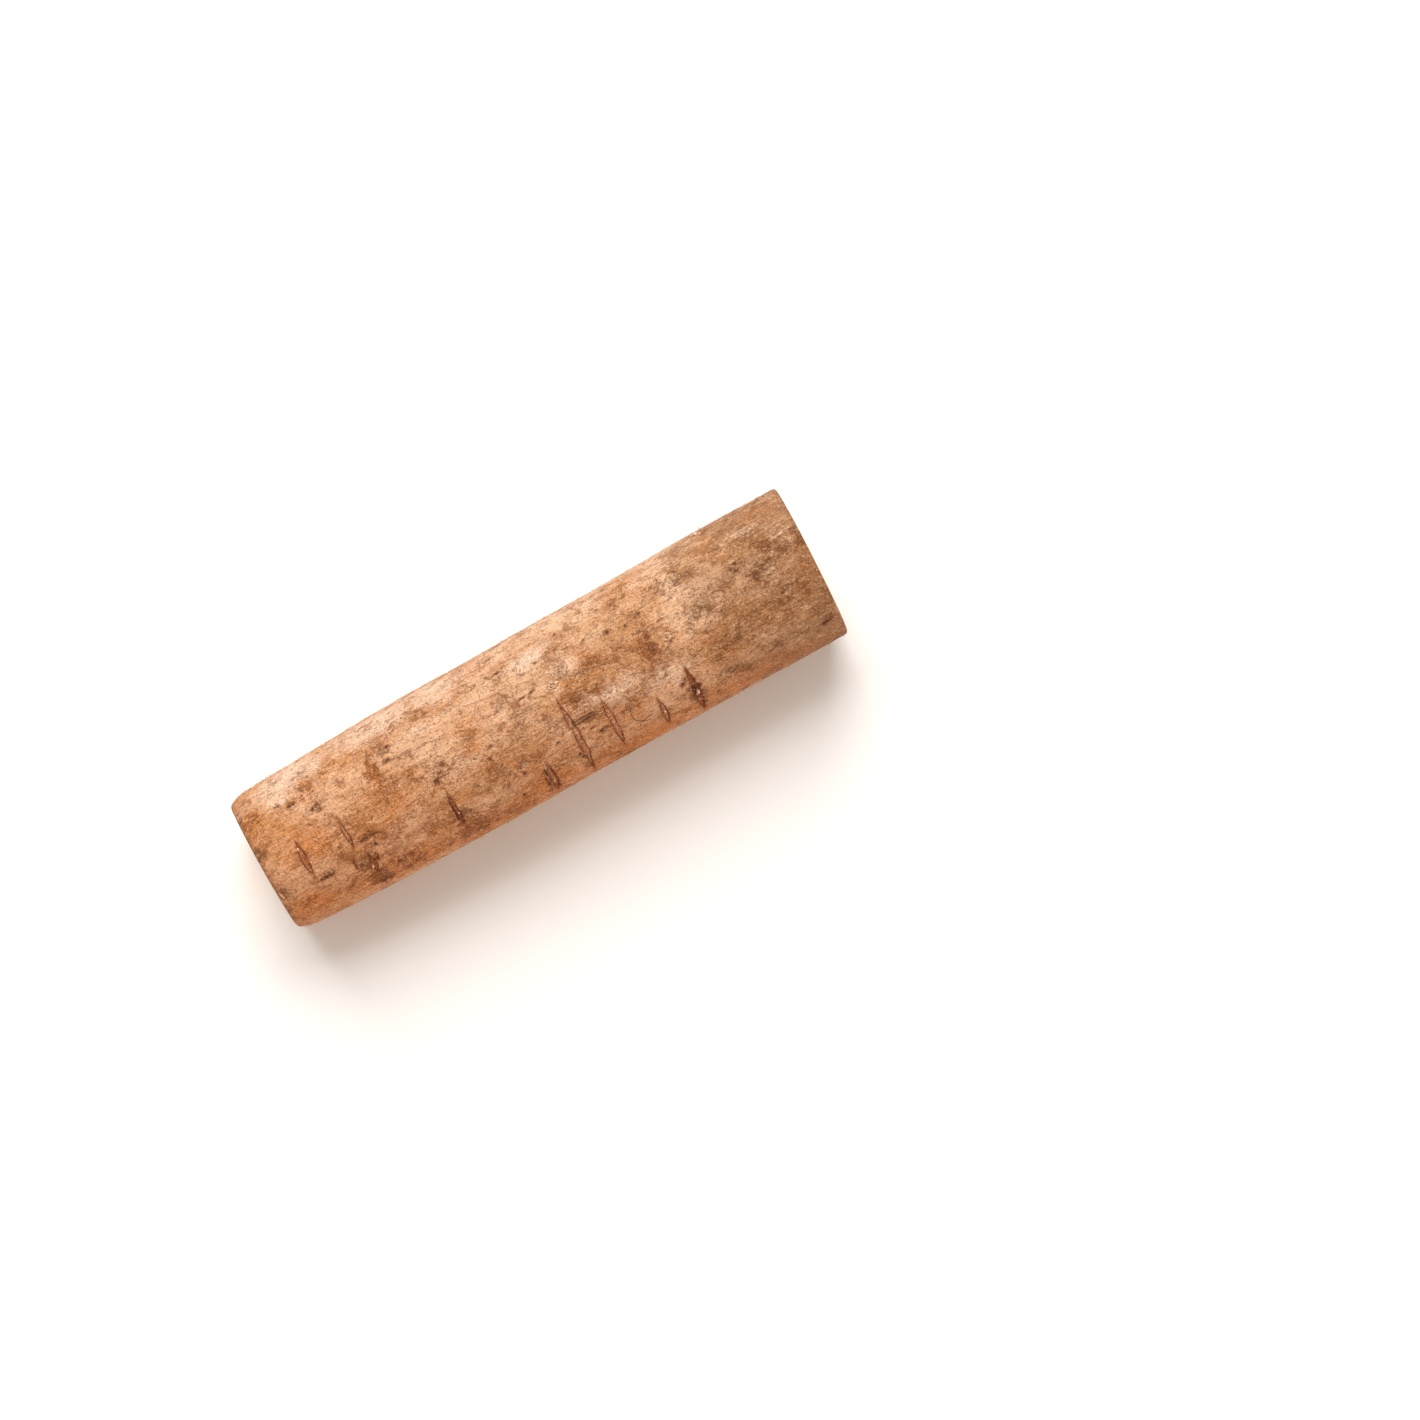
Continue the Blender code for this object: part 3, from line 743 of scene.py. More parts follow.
# Along the top edge the pale marks are a painted highlight; elsewhere they are pale patches.
pale = rise(tree, calc(tree, "ADD", mark[2], weaken(tree, ragged_half, 0.8)), 0.10, 0.85)
colour = wash(tree, colour, pale, 0.80, PALE_AND_HIGHLIGHT_CREAM)
blotches = clouds(tree, warped, 1.9, detail=5.0, offset=21.0, stretch=1.4, roughness=0.68)
colour = wash(tree, colour, rise(tree, blotches, 0.50, 0.69), 0.72, UMBER)
colour = wash(tree, colour, rise(tree, blotches, 0.47, 0.29), 0.60, CREAM)
streaks = clouds(tree, point, 0.42, detail=3.0, offset=31.0, stretch=9.0)
colour = wash(tree, colour, rise(tree, streaks, 0.52, 0.70), 0.24, UMBER)
colour = wash(tree, colour, rise(tree, streaks, 0.46, 0.30), 0.18, CREAM)

# Along the lower flank the stain marks are painted shade; elsewhere they are reddish-brown stains.
stain_and_shade = rise(tree, calc(tree, "ADD", mark[0], clumps), 0.30, 0.80)
colour = wash(tree, colour, stain_and_shade, 0.66, STAIN_AND_SHADE_BROWN)
soil = rise(tree, calc(tree, "ADD", mark[1], calc(tree, "SUBTRACT", ragged_half, tight_half)), 0.28, 0.76)
colour = wash(tree, colour, soil, 0.66, SOIL)
rim = calc(tree, "ADD", rise(tree, along, 54.9, 55.5), rise(tree, along, -54.4, -55.4))
rim = both(tree, rim, rise(tree, ragged, 0.36, 0.60))
colour = wash(tree, colour, rim, 0.55, UMBER)

# Fine creases, most of them along the root, as thin dark lines.
crease_bend = vector(tree, "MULTIPLY_ADD", shift, (1.2, 1.2, 1.2), point)
creases = None
for size, stretch, offset in ((1.3, 6.0, 51.0), (2.1, 0.5, 57.0)):
    field = clouds(tree, crease_bend, size, detail=2.0, offset=offset, stretch=stretch)
    line = rise(tree, calc(tree, "ABSOLUTE", swing(tree, field)), 0.020, 0.004)
    seen = rise(tree, clouds(tree, point, 3.0, detail=2.0, offset=offset + 3), 0.54, 0.66)
    line = both(tree, line, seen)
    creases = line if creases is None else calc(tree, "MAXIMUM", creases, weaken(tree, line, 0.6))
colour = wash(tree, colour, creases, 0.42, STAIN_AND_SHADE_BROWN)

# Small dark pits and flecks: x in mm, angle in degrees, and half their length and half their width in mm.
PITS = (
    (-48.1, -37, 0.6, 0.26), (-41.9, -21, 0.5, 0.3), (-45.2, -31.3, 0.34, 0.24),
    (-46.1, -31, 0.24, 0.22), (-42.8, -19.5, 0.34, 0.28), (-27.1, -24, 0.5, 0.28),
    (-26.1, -34.8, 0.44, 0.24), (-21.2, 6.8, 0.62, 0.34), (-41.7, 14.8, 0.36, 0.28),
    (-36.1, 25.8, 0.34, 0.3), (-33.8, 51, 0.3, 0.26), (3.7, -34.5, 0.42, 0.26), (-3, -43.8, 0.34, 0.16),
    (17.3, -26.8, 0.46, 0.34), (-11.4, 11.5, 0.46, 0.26), (-10, 4, 0.36, 0.22),
    (-7.1, 34.5, 0.26, 0.34), (0.7, 25.5, 0.24, 0.2), (8.3, 34.3, 0.44, 0.24), (9.3, -49.5, 0.26, 0.2),
    (20.8, -24.6, 0.28, 0.22), (23.7, -28, 0.55, 0.2), (24.9, 34, 0.5, 0.26), (42.8, -25.6, 0.3, 0.24),
    (41.7, -23, 0.28, 0.22), (42.5, -20, 0.34, 0.24), (52.4, 47.7, 0.62, 0.44), (-9, 52, 0.3, 0.22),
    (30, 58, 0.34, 0.24), (6.7, 20.7, 1.9, 0.2), (6.3, 18.2, 0.9, 0.16), (7.8, 18.3, 0.9, 0.14),
    (8.6, 20, 0.36, 0.18), (-36.4, 18.5, 1.8, 0.16), (-46.6, 31, 1.5, 0.22), (-37.2, 62, 1.4, 0.22),
    (-2.9, -44.5, 0.5, 0.16), (-1.1, -15, 0.5, 0.14), (4.65, 19, 0.26, 0.5), (3.1, 43, 0.32, 0.36),
    (3.4, 47, 0.26, 0.34), (27.5, 41, 0.42, 0.44), (27.2, 62, 0.42, 0.44), (26.4, 46.5, 0.55, 1.3),
    (-3.75, 47.5, 0.15, 1.9), (-2.65, 45, 0.12, 1.6), (-2.6, 60, 0.12, 1.6), (-21.1, 33, 0.16, 1.9),
    (-20.4, 41, 0.12, 1.3),
)
pit_gap = None
for pit_x, angle, half_length, half_width in PITS:
    pit_turn = front_turn(angle)
    middle = 1000 * place(pit_x / 1000, pit_turn, bark_radius(pit_x / 1000, pit_turn))
    per_reach = Vector((1 / half_length, 1 / half_width, 1 / half_width))
    away = Vector(middle) * -per_reach
    from_pit = vector(tree, "MULTIPLY_ADD", point, per_reach, away)
    gap = add_node(tree, "ShaderNodeVectorMath", {0: from_pit}, operation="LENGTH").outputs["Value"]
    pit_gap = gap if pit_gap is None else calc(tree, "MINIMUM", pit_gap, gap)
pit_gap = calc(tree, "ADD", pit_gap, weaken(tree, tight_half, 3.0))
pits = rise(tree, pit_gap, 1.25, 0.70)

wander = clouds(tree, point, 0.8, detail=4.0, offset=14.0)
near_side = weaken(tree, stored(tree, "slit_side"), 0.85)
edge_break = calc(tree, "ADD", rise(tree, wander, 0.36, 0.56), near_side)
edge_break = calc(tree, "MINIMUM", edge_break, rise(tree, tight, 0.16, 0.38))
for lines, strength in (("slit_lines", 0.88), ("crack_lines", 0.55)):
    split = add_node(tree, "ShaderNodeGroup", node_tree=split_group)
    tree.links.new(stored(tree, lines, "Vector"), split.inputs["Lines"])
    tree.links.new(wander, split.inputs["Wander"])
    broken_halo = both(tree, split.outputs["Halo"], rise(tree, blotches, 0.36, 0.60))
    colour = wash(tree, colour, broken_halo, 0.75 * strength, SPLIT_HALO)
    inner = tint(tree, stored(tree, "slit_filling"), SPLIT_DARK, SPLIT_FULL)
    inner = wash(tree, inner, rise(tree, tight, 0.45, 0.62), 0.6, SPLIT_HALO)
    colour = wash(tree, colour, split.outputs["Inside"], 0.9 * strength, inner)
    broken_edge = both(tree, split.outputs["Edges"], edge_break)
    colour = wash(tree, colour, broken_edge, strength, SPLIT_EDGE)
colour = wash(tree, colour, rise(tree, pit_gap, 2.8, 1.0), 0.26, STAIN_AND_SHADE_BROWN)
colour = wash(tree, colour, pits, 0.74, SPLIT_EDGE)

velvet = calc(tree, "ADD", weaken(tree, grain["Grain"], 0.75), weaken(tree, grain["Fibres"], 0.25))
coarser = calc(tree, "ADD", weaken(tree, rise(tree, middling, 0.38, 0.64), 0.75), 0.75)
velvet = calc(tree, "ADD", both(tree, swing(tree, velvet), coarser), 0.5)
colour = shade_by(tree, colour, velvet, 0.28, 0.72, 0.47, 1.46)
colour = wash(tree, colour, grain["Pale Specks"], 0.32, srgb(228, 192, 160))
colour = wash(tree, colour, grain["Dark Specks"], 0.55, srgb(98, 50, 20))
shader.inputs["Specular IOR Level"].default_value = 0.08
shader.inputs["Sheen Weight"].default_value = 0.06
shader.inputs["Sheen Roughness"].default_value = 0.5
height = calc(tree, "ADD", grain["Grain"], weaken(tree, grain["Fibres"], 1.2))
height = calc(tree, "ADD", height, weaken(tree, blotches, 1.3))
height = calc(tree, "SUBTRACT", height, weaken(tree, calc(tree, "MAXIMUM", creases, pits), 0.6))
finish_surface(tree, shader, colour, 0.86, height, strength=0.85, distance=0.0002)


# The cut flesh: a thin brown skin, a beige cortex with darker flames, the brown line of the cambium and a
# cream core with fine bright rays. Every line of it runs from the middle outwards.
CAMBIUM_TICKS = 117
tree, shader, point = start_material(flesh)
share = stored(tree, "cut_share")
ring = stored(tree, "ring_share")
place_parts = add_node(tree, "ShaderNodeSeparateXYZ", {0: point}).outputs
at_thick_end = calc(tree, "GREATER_THAN", place_parts[0], 0.0)
thin_centre, thick_centre = (1000 * float(axis_height(side * LENGTH / 2)) for side in (-1, 1))
centre = add_node(
    tree, "ShaderNodeMapRange", {"Value": at_thick_end, "To Min": thin_centre, "To Max": thick_centre}
).outputs["Result"]
up = calc(tree, "SUBTRACT", place_parts[2], centre)
flat_point = add_node(tree, "ShaderNodeCombineXYZ", {0: 0.0, 1: place_parts[1], 2: up}).outputs[0]
way = vector(tree, "NORMALIZE", flat_point)
out = add_node(tree, "ShaderNodeCombineXYZ", {0: weaken(tree, share, 1.4)}).outputs[0]
out_and_way = vector(tree, "MULTIPLY_ADD", way, (2.0, 2.0, 2.0), out)
fine_rays = noise_at(tree, out_and_way, 17.0, 3.0, 0.6)
broad_rays = noise_at(tree, out_and_way, 6.0, 3.0, 0.6)
grain = fine_grain(tree, point, 0.22)
turn_angle = calc(tree, "ARCTAN2", place_parts[1], up)
ticks = calc(tree, "SINE", calc(tree, "ADD", weaken(tree, turn_angle, CAMBIUM_TICKS), 0.5))
ticks = rise(tree, calc(tree, "ADD", ticks, weaken(tree, fine_rays, 4.4)), 2.2, 3.3)

colour = tint(tree, rise(tree, share, 0.66, 0.88), srgb(208, 158, 116), srgb(240, 208, 180))
colour = wash(tree, colour, rise(tree, broad_rays, 0.45, 0.70), 0.55, srgb(196, 142, 98))
colour = wash(tree, colour, rise(tree, fine_rays, 0.52, 0.72), 0.35, srgb(246, 216, 190))
core = tint(tree, rise(tree, share, 0.0, 0.42), srgb(248, 233, 222), srgb(243, 218, 200))
core = wash(tree, core, rise(tree, share, 0.42, 0.66), 0.75, srgb(228, 186, 152))
core = wash(tree, core, rise(tree, fine_rays, 0.48, 0.30), 0.38, srgb(222, 180, 146))
tick_start = calc(tree, "ADD", ring, weaken(tree, swing(tree, fine_rays), 0.10))
tick_band = both(tree, rise(tree, tick_start, 0.615, 0.650), rise(tree, ring, 0.675, 0.660))
core = wash(tree, core, both(tree, ticks, tick_band), 0.85, srgb(255, 238, 216))
pith_rays = both(tree, rise(tree, share, 0.06, 0.16), rise(tree, share, 0.48, 0.30))
white_rays = both(tree, rise(tree, fine_rays, 0.50, 0.60), pith_rays)
core = wash(tree, core, white_rays, 0.7, srgb(255, 248, 242))
in_core = rise(tree, ring, 0.676, 0.664)
colour = tint(tree, in_core, colour, core)
cambium = both(tree, rise(tree, ring, 0.648, 0.670), rise(tree, ring, 0.700, 0.676))
colour = wash(tree, colour, cambium, 0.72, srgb(184, 126, 82))
flames = both(tree, rise(tree, ring, 0.67, 0.69), rise(tree, ring, 0.86, 0.70))
flames = both(tree, flames, rise(tree, fine_rays, 0.42, 0.62))
colour = wash(tree, colour, flames, 0.55, srgb(186, 130, 88))
grainy_share = calc(tree, "ADD", share, weaken(tree, swing(tree, grain["Grain"]), 0.03))
colour = wash(tree, colour, rise(tree, grainy_share, 0.935, 0.975), 0.8, srgb(176, 124, 84))
rayed_share = calc(tree, "ADD", share, weaken(tree, swing(tree, fine_rays), 0.03))
colour = tint(tree, rise(tree, rayed_share, 0.978, 0.990), colour, srgb(104, 66, 42))
colour = shade_by(tree, colour, grain["Grain"], 0.25, 0.75, 0.9, 1.08)
shader.inputs["Specular IOR Level"].default_value = 0.35
shader.inputs["Subsurface Weight"].default_value = 0.15
shader.inputs["Subsurface Scale"].default_value = 0.0012
height = calc(tree, "ADD", noise_at(tree, point, 0.9, 3.0), weaken(tree, grain["Grain"], 0.6))
height = calc(tree, "ADD", weaken(tree, fine_rays, 0.8), height)
finish_surface(tree, shader, colour, 0.62, height, distance=0.00014)

# The walls of the hollows in the pith: dry, tan and slightly fibrous.
tree, shader, point = start_material(pith)
grain = fine_grain(tree, point, 0.25)
colour = tint(tree, rise(tree, grain["Grain"], 0.3, 0.7), srgb(232, 204, 166), srgb(248, 228, 200))
finish_surface(tree, shader, colour, 0.8, grain["Grain"])

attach(root, "root")
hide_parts("burdock_root")


# What stands on the bark: broken stumps of rootlets in the slits, healed round scars, peeling scales and a
# fine fuzz. Each is set on the bark's own surface and follows its round.
surface = BVHTree.FromObject(root, bpy.context.evaluated_depsgraph_get())


def on_surface(x, turn):
    """The point of the bark at this x and turn, and its directions along, around and out."""
    outward = Vector((0, -math.sin(turn), math.cos(turn)))
    axis = Vector((x, 0, float(axis_height(x))))
    spot = surface.ray_cast(axis + outward * 0.03, -outward)[0]
    if spot is None:
        spot = axis + outward * THICK_RADIUS
    around = Vector((1, 0, 0)).cross(outward).normalized()
    return spot, Vector((1, 0, 0)), around, outward


def add_piece(shape, name):
    """A new object of this shape, with its faces pointing out."""
    bmesh.ops.recalc_face_normals(shape, faces=shape.faces)
    mesh = bpy.data.meshes.new(name)
    shape.to_mesh(mesh)
    shape.free()
    piece = bpy.data.objects.new(name, mesh)
    bpy.context.scene.collection.objects.link(piece)
    return piece


def finish_piece(piece, material):
    """Gives a small piece its material and hangs it on the root."""
    piece.data.materials.append(material)
    piece.data.shade_smooth()
    piece.data.set_sharp_from_angle(angle=math.radians(55))
    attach(piece, "root")


# Stumps of rootlets, broken off just over the bark: x in mm, angle in degrees, diameter and height in mm.
FRONT_STUBS = (
    (-48.4, 1, 0.7, 0.1), (-38.4, 43.5, 0.8, 0.2), (-20.6, 38, 0.6, 0.1), (-3.2, 56, 0.6, 0.08),
    (11, 33, 0.5, 0.1), (19.8, 48, 0.8, 0.14), (26.6, 47.5, 1.1, 0.34), (26.2, 50, 0.6, 0.22),
    (39.8, -76, 1.6, 0.35), (52.6, -84, 1.4, 0.3),
)
STUB_ROOT = 0.0006
stumps = bmesh.new()
crest_layer = stumps.verts.layers.float.new("crest")
for number, (stub_x, angle, diameter, height) in enumerate((*FRONT_STUBS, *back_stubs)):
    spot, along, around, outward = on_surface(stub_x / 1000, front_turn(angle))
    radius = diameter / 2000
    made = bmesh.ops.create_cone(
        stumps, segments=14, radius1=radius, radius2=radius * 0.72, depth=1.0, cap_ends=True, cap_tris=False
    )["verts"]
    top = [face for face in {f for v in made for f in v.link_faces} if face.normal.z > 0.9]
    bmesh.ops.inset_individual(stumps, faces=top, thickness=radius * 0.22, use_even_offset=True)
    bmesh.ops.inset_individual(stumps, faces=top, thickness=radius * 0.22, use_even_offset=True)
    bmesh.ops.poke(stumps, faces=top)
    fresh = [v for v in stumps.verts if v[crest_layer] == 0.0]
    for vert in fresh:
        reach = math.hypot(vert.co.x, vert.co.y) / radius
        tip = vert.co.z > 0
        jag = noise.noise(Vector((vert.co.x, vert.co.y, 0)) / radius * 1.3 + Vector((number * 7.1, 0, 0)))
        level = height / 1000 * (1.15 - 0.55 * reach**2 + 0.5 * jag) if tip else -STUB_ROOT
        vert[crest_layer] = max(0.05, 1 - reach**2) if tip else 0.02
        wide = 1 + 0.15 * jag
        vert.co = spot + along * vert.co.x * 0.7 * wide + around * vert.co.y * 1.35 * wide + outward * level
stump_piece = add_piece(stumps, "rootlet_stumps")

# Healed scars, each a low crater with a knob in it: x in mm, angle in degrees, then its size along the root,
# round it and in height, in mm. The profile runs from the middle out, in shares of the radius and height.
FRONT_SCARS = (
    (26.4, -3, 1.8, 1.7, 0.18), (4.6, -12, 2.3, 1.3, 0.24), (-48.1, -39, 1.3, 0.9, 0.14),
)
SCAR_PROFILE = (
    (0, 0.55), (0.16, 0.7), (0.3, 0.15), (0.42, 0.1), (0.56, 0.85), (0.72, 1), (0.86, 0.35), (1, 0.05),
    (1.02, -1.6), (0, -1.6),
)
SCAR_STEPS = 28
scars = bmesh.new()
crest_layer = scars.verts.layers.float.new("crest")
for number, (scar_x, angle, long, wide, height) in enumerate(FRONT_SCARS):
    spot, along, around, outward = on_surface(scar_x / 1000, front_turn(angle))
    profile = [scars.verts.new((reach, 0, level)) for reach, level in SCAR_PROFILE]
    chain = [scars.edges.new(pair) for pair in zip(profile, profile[1:])]
    old = set(scars.verts) - set(profile)
    bmesh.ops.spin(
        scars, geom=profile + chain, cent=(0, 0, 0), axis=(0, 0, 1), dvec=(0, 0, 0), angle=math.tau,
        steps=SCAR_STEPS, use_duplicate=False,
    )
    fresh = [v for v in scars.verts if v not in old]
    bmesh.ops.remove_doubles(scars, verts=fresh, dist=1e-4)
    for vert in [v for v in scars.verts if v not in old]:
        bend = noise.noise(vert.co * 2.1 + Vector((number * 5.3, 2, 1)))
        swell = noise.noise(Vector((vert.co.x * 1.1, vert.co.y * 1.1, number * 4.7)))
        vert[crest_layer] = max(0.0, min(1.0, 0.18 + 0.50 * vert.co.z + 0.7 * bend + 0.6 * swell))
        flat_x, flat_y = vert.co.x * (1 + 0.35 * bend + 0.3 * swell), vert.co.y * (1 - 0.3 * bend)
        level = vert.co.z * height / 1000 * (1 + 0.5 * bend + (1.3 * swell if vert.co.z > 0 else 0))
        off_x, off_y = flat_x * long / 2000, flat_y * wide / 2000
        vert.co = spot + along * off_x + around * off_y + outward * (level - off_y**2 / (2 * THICK_RADIUS))
scar_piece = add_piece(scars, "healed_scars")

# Dry rootlet wood: pale where it stands proud, brown in its hollows and round its foot.
rootlet = bpy.data.materials.new("rootlet_wood")
tree, shader, point = start_material(rootlet)
grain = fine_grain(tree, point, 0.2)
crest = calc(tree, "ADD", stored(tree, "crest"), weaken(tree, swing(tree, grain["Grain"]), 0.8))
colour = tint(tree, rise(tree, crest, 0.05, 0.35), srgb(112, 70, 44), srgb(172, 126, 90))
colour = tint(tree, rise(tree, crest, 0.40, 1.00), colour, srgb(230, 198, 168))
finish_surface(tree, shader, colour, 0.75, grain["Grain"], strength=0.6)
finish_piece(stump_piece, rootlet)
finish_piece(scar_piece, rootlet)

# Thin scales of bark that have come loose at one end and curl up: x in mm, angle and heading in degrees,
# length and width in mm, and how far the loose end lifts in mm. The rest are small and lie anywhere.
FRONT_SCALES = (
    (-55, 24, 80, 1.6, 0.5, 0.2), (-54.6, 33, 60, 1.2, 0.5, 0.15), (38.9, -73, 5, 2.4, 0.6, 0.25),
    (40.6, -78, 175, 1.6, 0.5, 0.3), (52.4, -82, 10, 1.5, 0.7, 0.3), (26.2, 56, 95, 0.8, 0.3, 0.12),
    (8, 21, 3, 2.2, 0.3, 0.15),
)
SCALE_SEED = 29
SMALL_SCALES = 90
SCALE_THICKNESS = 0.00005
draw = random.Random(SCALE_SEED)
listed = list(FRONT_SCALES)
for number in range(SMALL_SCALES):
    spread = (draw.uniform(-54, 54), draw.uniform(-150, 150), draw.gauss(0, 30) + 180 * draw.randrange(2))
    listed.append((*spread, draw.uniform(0.5, 1.3), draw.uniform(0.12, 0.32), draw.uniform(0.02, 0.10)))
scales = bmesh.new()
for number, (scale_x, angle, facing, length, width, curl) in enumerate(listed):
    spot, along, around, outward = on_surface(scale_x / 1000, front_turn(angle))
    tip_way = along * math.cos(math.radians(facing)) + around * math.sin(math.radians(facing))
    side_way = outward.cross(tip_way)
    grid = bmesh.ops.create_grid(scales, x_segments=6, y_segments=3, size=0.5)["verts"]
    for vert in grid:
        reach, aside = vert.co.x + 0.5, vert.co.y
        wander = noise.noise(Vector((reach * 2.3, number * 3.7, 0)))
        full = 0.35 + 0.65 * math.sin(math.pi * min(0.95, 0.25 + 0.7 * reach))
        wide = width / 1000 * full * (1 + 0.4 * wander)
        shift = tip_way * reach * length / 1000 + side_way * (aside * wide + wander * 0.0001)
        level = 0.00002 + curl / 1000 * reach**2.2 - 0.00012 * abs(aside) * 2
        round_off = shift.dot(around) ** 2 / (2 * THICK_RADIUS)
        vert.co = spot + shift + outward * (level - round_off)
scale_piece = add_piece(scales, "bark_scales")
solidify = scale_piece.modifiers.new("thickness", "SOLIDIFY")
solidify.thickness = SCALE_THICKNESS
solidify.offset = 0
bpy.context.view_layer.objects.active = scale_piece
bpy.ops.object.modifier_apply(modifier=solidify.name)


def two_toned(name, size, offset, spread, dark, light, roughness):
    """A dry material that drifts between two colours, in patches of this size in mm."""
    material = bpy.data.materials.new(name)
    tree, shader, point = start_material(material)
    tone = clouds(tree, point, size, detail=2.0, offset=offset)
    colour = tint(tree, rise(tree, tone, 0.5 - spread, 0.5 + spread), srgb(*dark), srgb(*light))
    finish_surface(tree, shader, colour, roughness)
    return material


finish_piece(scale_piece, two_toned("bark_scale", 2.0, 3.0, 0.15, (150, 100, 64), (212, 168, 130), 0.8))


# Root hairs: short dry ones that make a fuzz all over the bark, and long dark ones stuck flat to it. Each is
# a bent three-sided rod that thins towards its tip.
def add_rod(points, faces, path, outward, thick):
    """Adds one rod along these places to the lists of points and faces."""
    first = len(points)
    last = len(path) - 1
    for step, spot in enumerate(path):
        ahead = (path[min(step + 1, last)] - path[max(step - 1, 0)]).normalized()
        aside = outward.cross(ahead).normalized()
        slim = thick * (1 - 0.6 * step / last)
        for corner in (aside, outward * 0.87 - aside * 0.5, outward * -0.87 - aside * 0.5):
            points.append(tuple(spot + corner * slim))
    for low in range(first, first + 3 * last, 3):
        for corner in range(3):
            following = (corner + 1) % 3
            faces.append((low + corner, low + following, low + 3 + following, low + 3 + corner))
    end = first + 3 * last
    faces.append((first + 2, first + 1, first))
    faces.append((end, end + 1, end + 2))


def rods_object(name, points, faces):
    """A closed mesh object of these rods."""
    mesh = bpy.data.meshes.new("rods")
    mesh.from_pydata(points, [], faces)
    shape = bmesh.new()
    shape.from_mesh(mesh)
    bpy.data.meshes.remove(mesh)
    return add_piece(shape, name)


FUZZ_SEED = 43
FUZZ_COUNT = 1900
FUZZ_BACK_TURN = 158
EDGE_FUZZ_COUNT = 520
EDGE_FUZZ_TURNS = (62, 112)
draw = random.Random(FUZZ_SEED)
fuzz_points = []
fuzz_faces = []
for number in range(FUZZ_COUNT + EDGE_FUZZ_COUNT):
    at_edge = number >= FUZZ_COUNT
    fibre_x = draw.uniform(-LENGTH / 2 + 0.0004, LENGTH / 2 - 0.0004)
    angle = draw.uniform(-FUZZ_BACK_TURN, FUZZ_BACK_TURN)
    if at_edge:
        angle = draw.uniform(*EDGE_FUZZ_TURNS) * (1 if draw.random() < 0.35 else -1)
    length = draw.uniform(0.0002, 0.0007) if at_edge else draw.uniform(0.0004, 0.0012)
    thick = draw.uniform(0.00003, 0.00006) if at_edge else draw.uniform(0.000018, 0.000034)
    stand = draw.uniform(0.00015, 0.00045) if at_edge else 0.00026
    lifted = at_edge or draw.random() < 0.22
    facing = draw.gauss(0, 0.55) + math.pi * draw.randrange(2)
    curl = draw.uniform(-1.1, 1.1)
    spot, along, around, outward = on_surface(fibre_x, front_turn(angle))
    path = []
    for step in range(4):
        reach = step / 3
        way = facing + curl * reach
        height = stand * reach**1.3 + 0.00001 if lifted else 0.00003 + 0.00005 * math.sin(math.pi * reach)
        off = (along * math.cos(way) + around * math.sin(way)) * length * reach
        path.append(spot + off + outward * (height - off.dot(around) ** 2 / (2 * THICK_RADIUS)))
    add_rod(fuzz_points, fuzz_faces, path, outward, thick)
fuzz_piece = rods_object("bark_fuzz", fuzz_points, fuzz_faces)

# The stuck hairs: thickness in mm, then the places that each runs through, as x in mm and angle in degrees.
STUCK_HAIRS = (
    (0.095, ((4.9, 17.8), (6.6, 18.0), (8.7, 20.0))),
    (0.090, ((5.6, 21.2), (7.2, 21.6), (8.8, 21.8))),
    (0.110, ((14.7, 27.5), (14.4, 33.0), (14.3, 40.0), (15.0, 43.0), (15.8, 45.5), (17.0, 47.5))),
    (0.050, ((11.2, 10.0), (12.0, 13.5))),
    (0.060, ((17.2, 7.5), (19.0, 9.5), (20.8, 14.5))),
    (0.090, ((-38.2, 18.0), (-36.4, 20.0), (-34.7, 16.6))),
    (0.080, ((-47.6, 29.5), (-46.6, 31.4), (-44.4, 31.0))),
    (0.085, ((-38.6, 60.5), (-37.2, 62.0), (-35.6, 61.6))),
    (0.070, ((-7.6, 28.5), (-6.5, 25.5), (-5.4, 27.5))),
    (0.065, ((-4.6, -42.0), (-3.6, -44.5), (-2.4, -45.5))),
    (0.050, ((-27.3, -23.5), (-21.5, -20.5), (-16.0, -19.5))),
    (0.045, ((8.0, -12.0), (11.5, -10.0), (15.6, -6.0))),
    (0.050, ((33.2, 2.4), (35.0, -3.5), (38.6, -9.0))),
    (0.045, ((-10.5, -31.0), (-6.0, -27.5), (-1.0, -28.5))),
    (0.050, ((-43.0, 8.0), (-39.5, 6.0), (-35.5, 8.5))),
    (0.045, ((40.0, -45.0), (46.0, -42.0), (52.0, -44.0))),
)
STUCK_SEED = 61
MORE_STUCK_HAIRS = 34
draw = random.Random(STUCK_SEED)
listed = list(STUCK_HAIRS)
for number in range(MORE_STUCK_HAIRS):
    hair_x, angle = draw.uniform(-50, 46), draw.uniform(-150, 150)
    run, turned_by, bent = draw.uniform(2, 8), draw.uniform(-12, 12), draw.uniform(-5, 5)
    middle = (hair_x + run / 2, angle + turned_by / 2 + bent)
    stops = ((hair_x, angle), middle, (hair_x + run, angle + turned_by))
    listed.append((draw.uniform(0.03, 0.05), stops))
stuck_points = []
stuck_faces = []
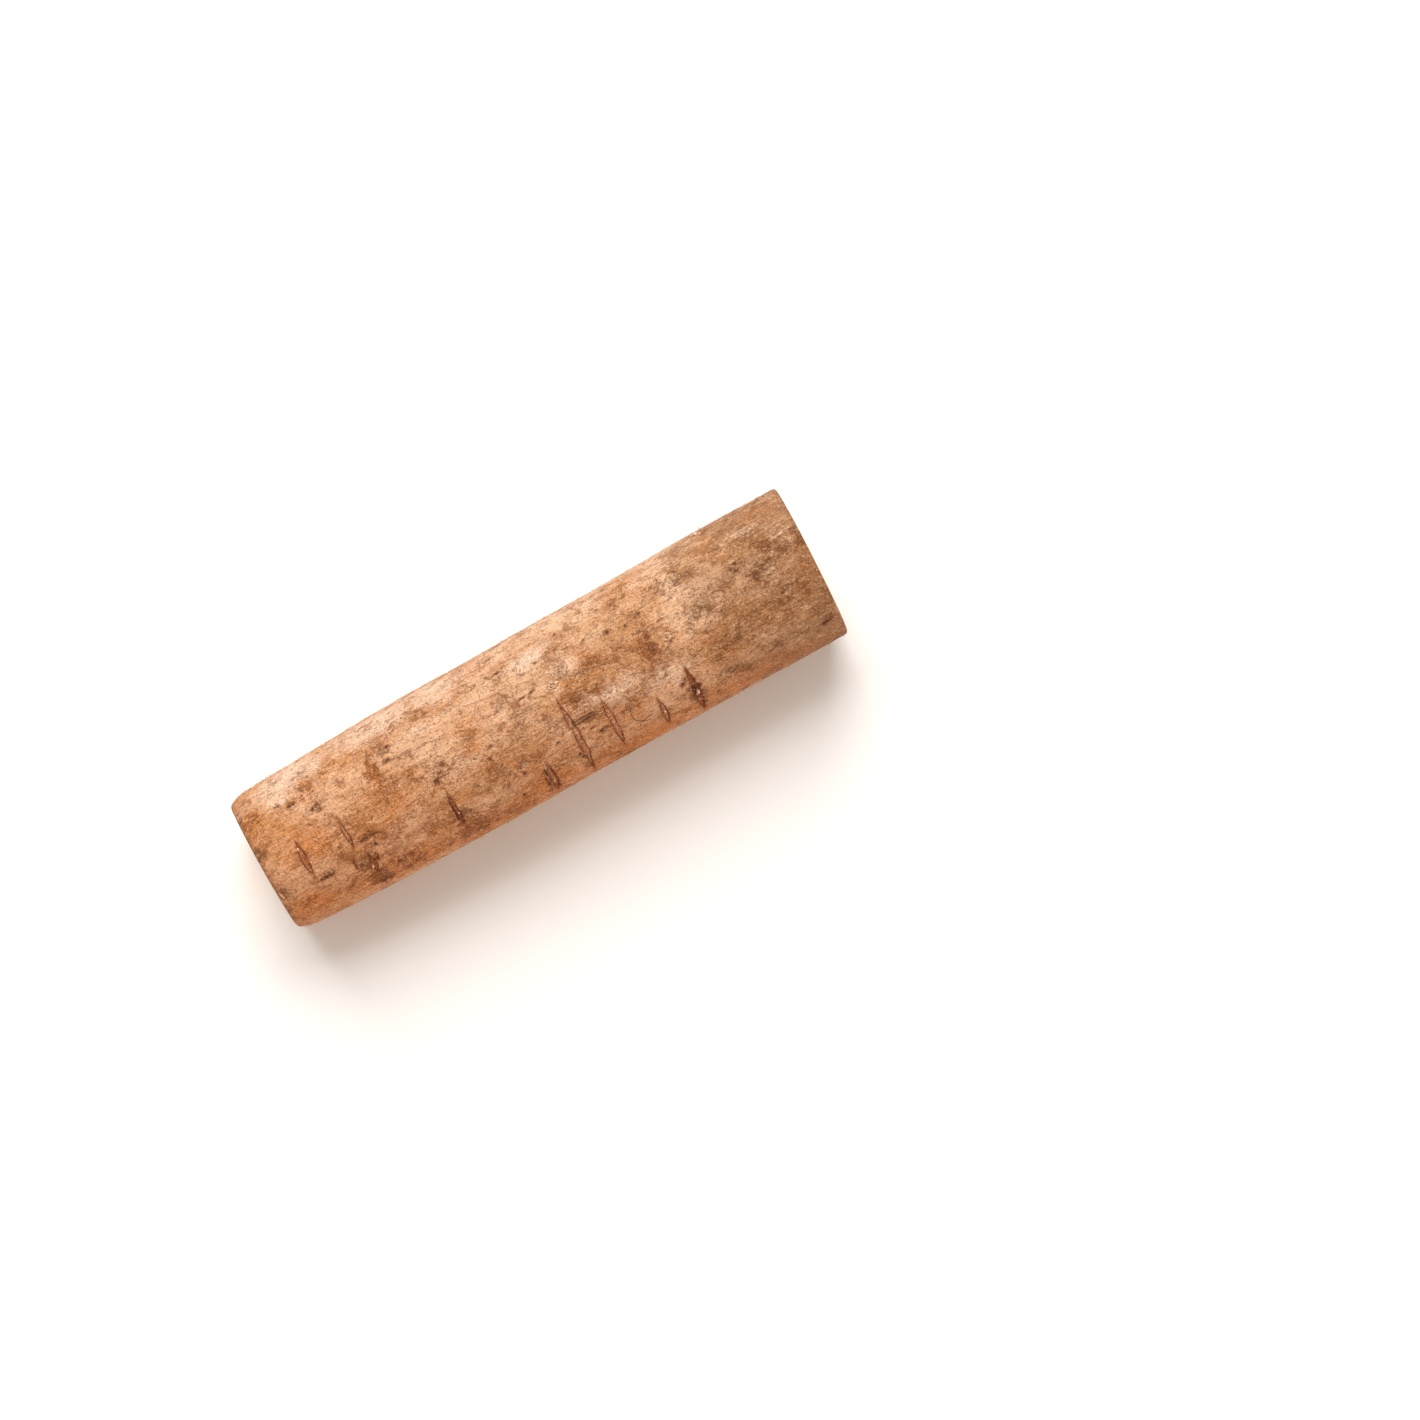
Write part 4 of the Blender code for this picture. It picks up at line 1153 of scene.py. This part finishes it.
for number, (thick, stops) in enumerate(listed):
    steps = 8 * (len(stops) - 1)
    stop_x, stop_angle = zip(*stops)
    path = []
    for step in range(steps + 1):
        reach = step / 8
        wobble = noise.noise(Vector((reach * 1.9, number * 2.3, 0)))
        hair_x = np.interp(reach, range(len(stops)), stop_x) + 0.25 * wobble
        angle = np.interp(reach, range(len(stops)), stop_angle) + 1.6 * wobble
        spot, along, around, outward = on_surface(hair_x / 1000, front_turn(angle))
        path.append(spot + outward * thick * 0.00035)
    add_rod(stuck_points, stuck_faces, path, outward, thick / 1000)
stuck_piece = rods_object("stuck_root_hairs", stuck_points, stuck_faces)

finish_piece(stuck_piece, two_toned("dark_fibre", 1.3, 17.0, 0.15, (84, 44, 22), (142, 92, 58), 0.8))
finish_piece(fuzz_piece, two_toned("bark_fibre", 1.1, 9.0, 0.12, (168, 118, 78), (228, 188, 150), 0.7))


# The floor is a wide pale sheet without a seam.
bpy.ops.mesh.primitive_plane_add(size=6, location=(0, 0, -0.0001))
floor = bpy.context.object
floor.name = "floor"
paper = bpy.data.materials.new("white_paper")
tree, shader, point = start_material(paper)
shader.inputs["Base Color"].default_value = (0.86, 0.86, 0.86, 1)
shader.inputs["Roughness"].default_value = 0.9
floor.data.materials.append(paper)


# One large soft light from beyond the root, a weaker warm one from the near side, and a bright sky.
def add_light(name, direction, elevation, distance, size, power, colour):
    """A square area light this far from the root, aimed at it."""
    flat_way = (heading * direction[0] + picture_right * direction[1]).normalized()
    spot = flat_way * math.cos(math.radians(elevation)) + Vector((0, 0, math.sin(math.radians(elevation))))
    bpy.ops.object.light_add(type="AREA", location=root_middle + spot * distance)
    light = bpy.context.object
    light.name = name
    light.data.size = size
    light.data.energy = power
    light.data.color = colour
    light.rotation_euler = (-spot).to_track_quat("-Z", "Y").to_euler()


add_light("key", (1.0, -0.25), 46, 3.2, 2.8, 147.0, (1.0, 0.99, 0.97))
add_light("fill", (-1.0, 0.3), 25, 2.4, 1.6, 22.0, (1.0, 0.54, 0.22))
world = bpy.data.worlds.new("sky")
bpy.context.scene.world = world
world.use_nodes = True
sky = world.node_tree.nodes["Background"]
sky.inputs["Color"].default_value = (1.0, 0.99, 0.97, 1)
sky.inputs["Strength"].default_value = 0.52
bpy.context.scene.view_settings.view_transform = "Standard"
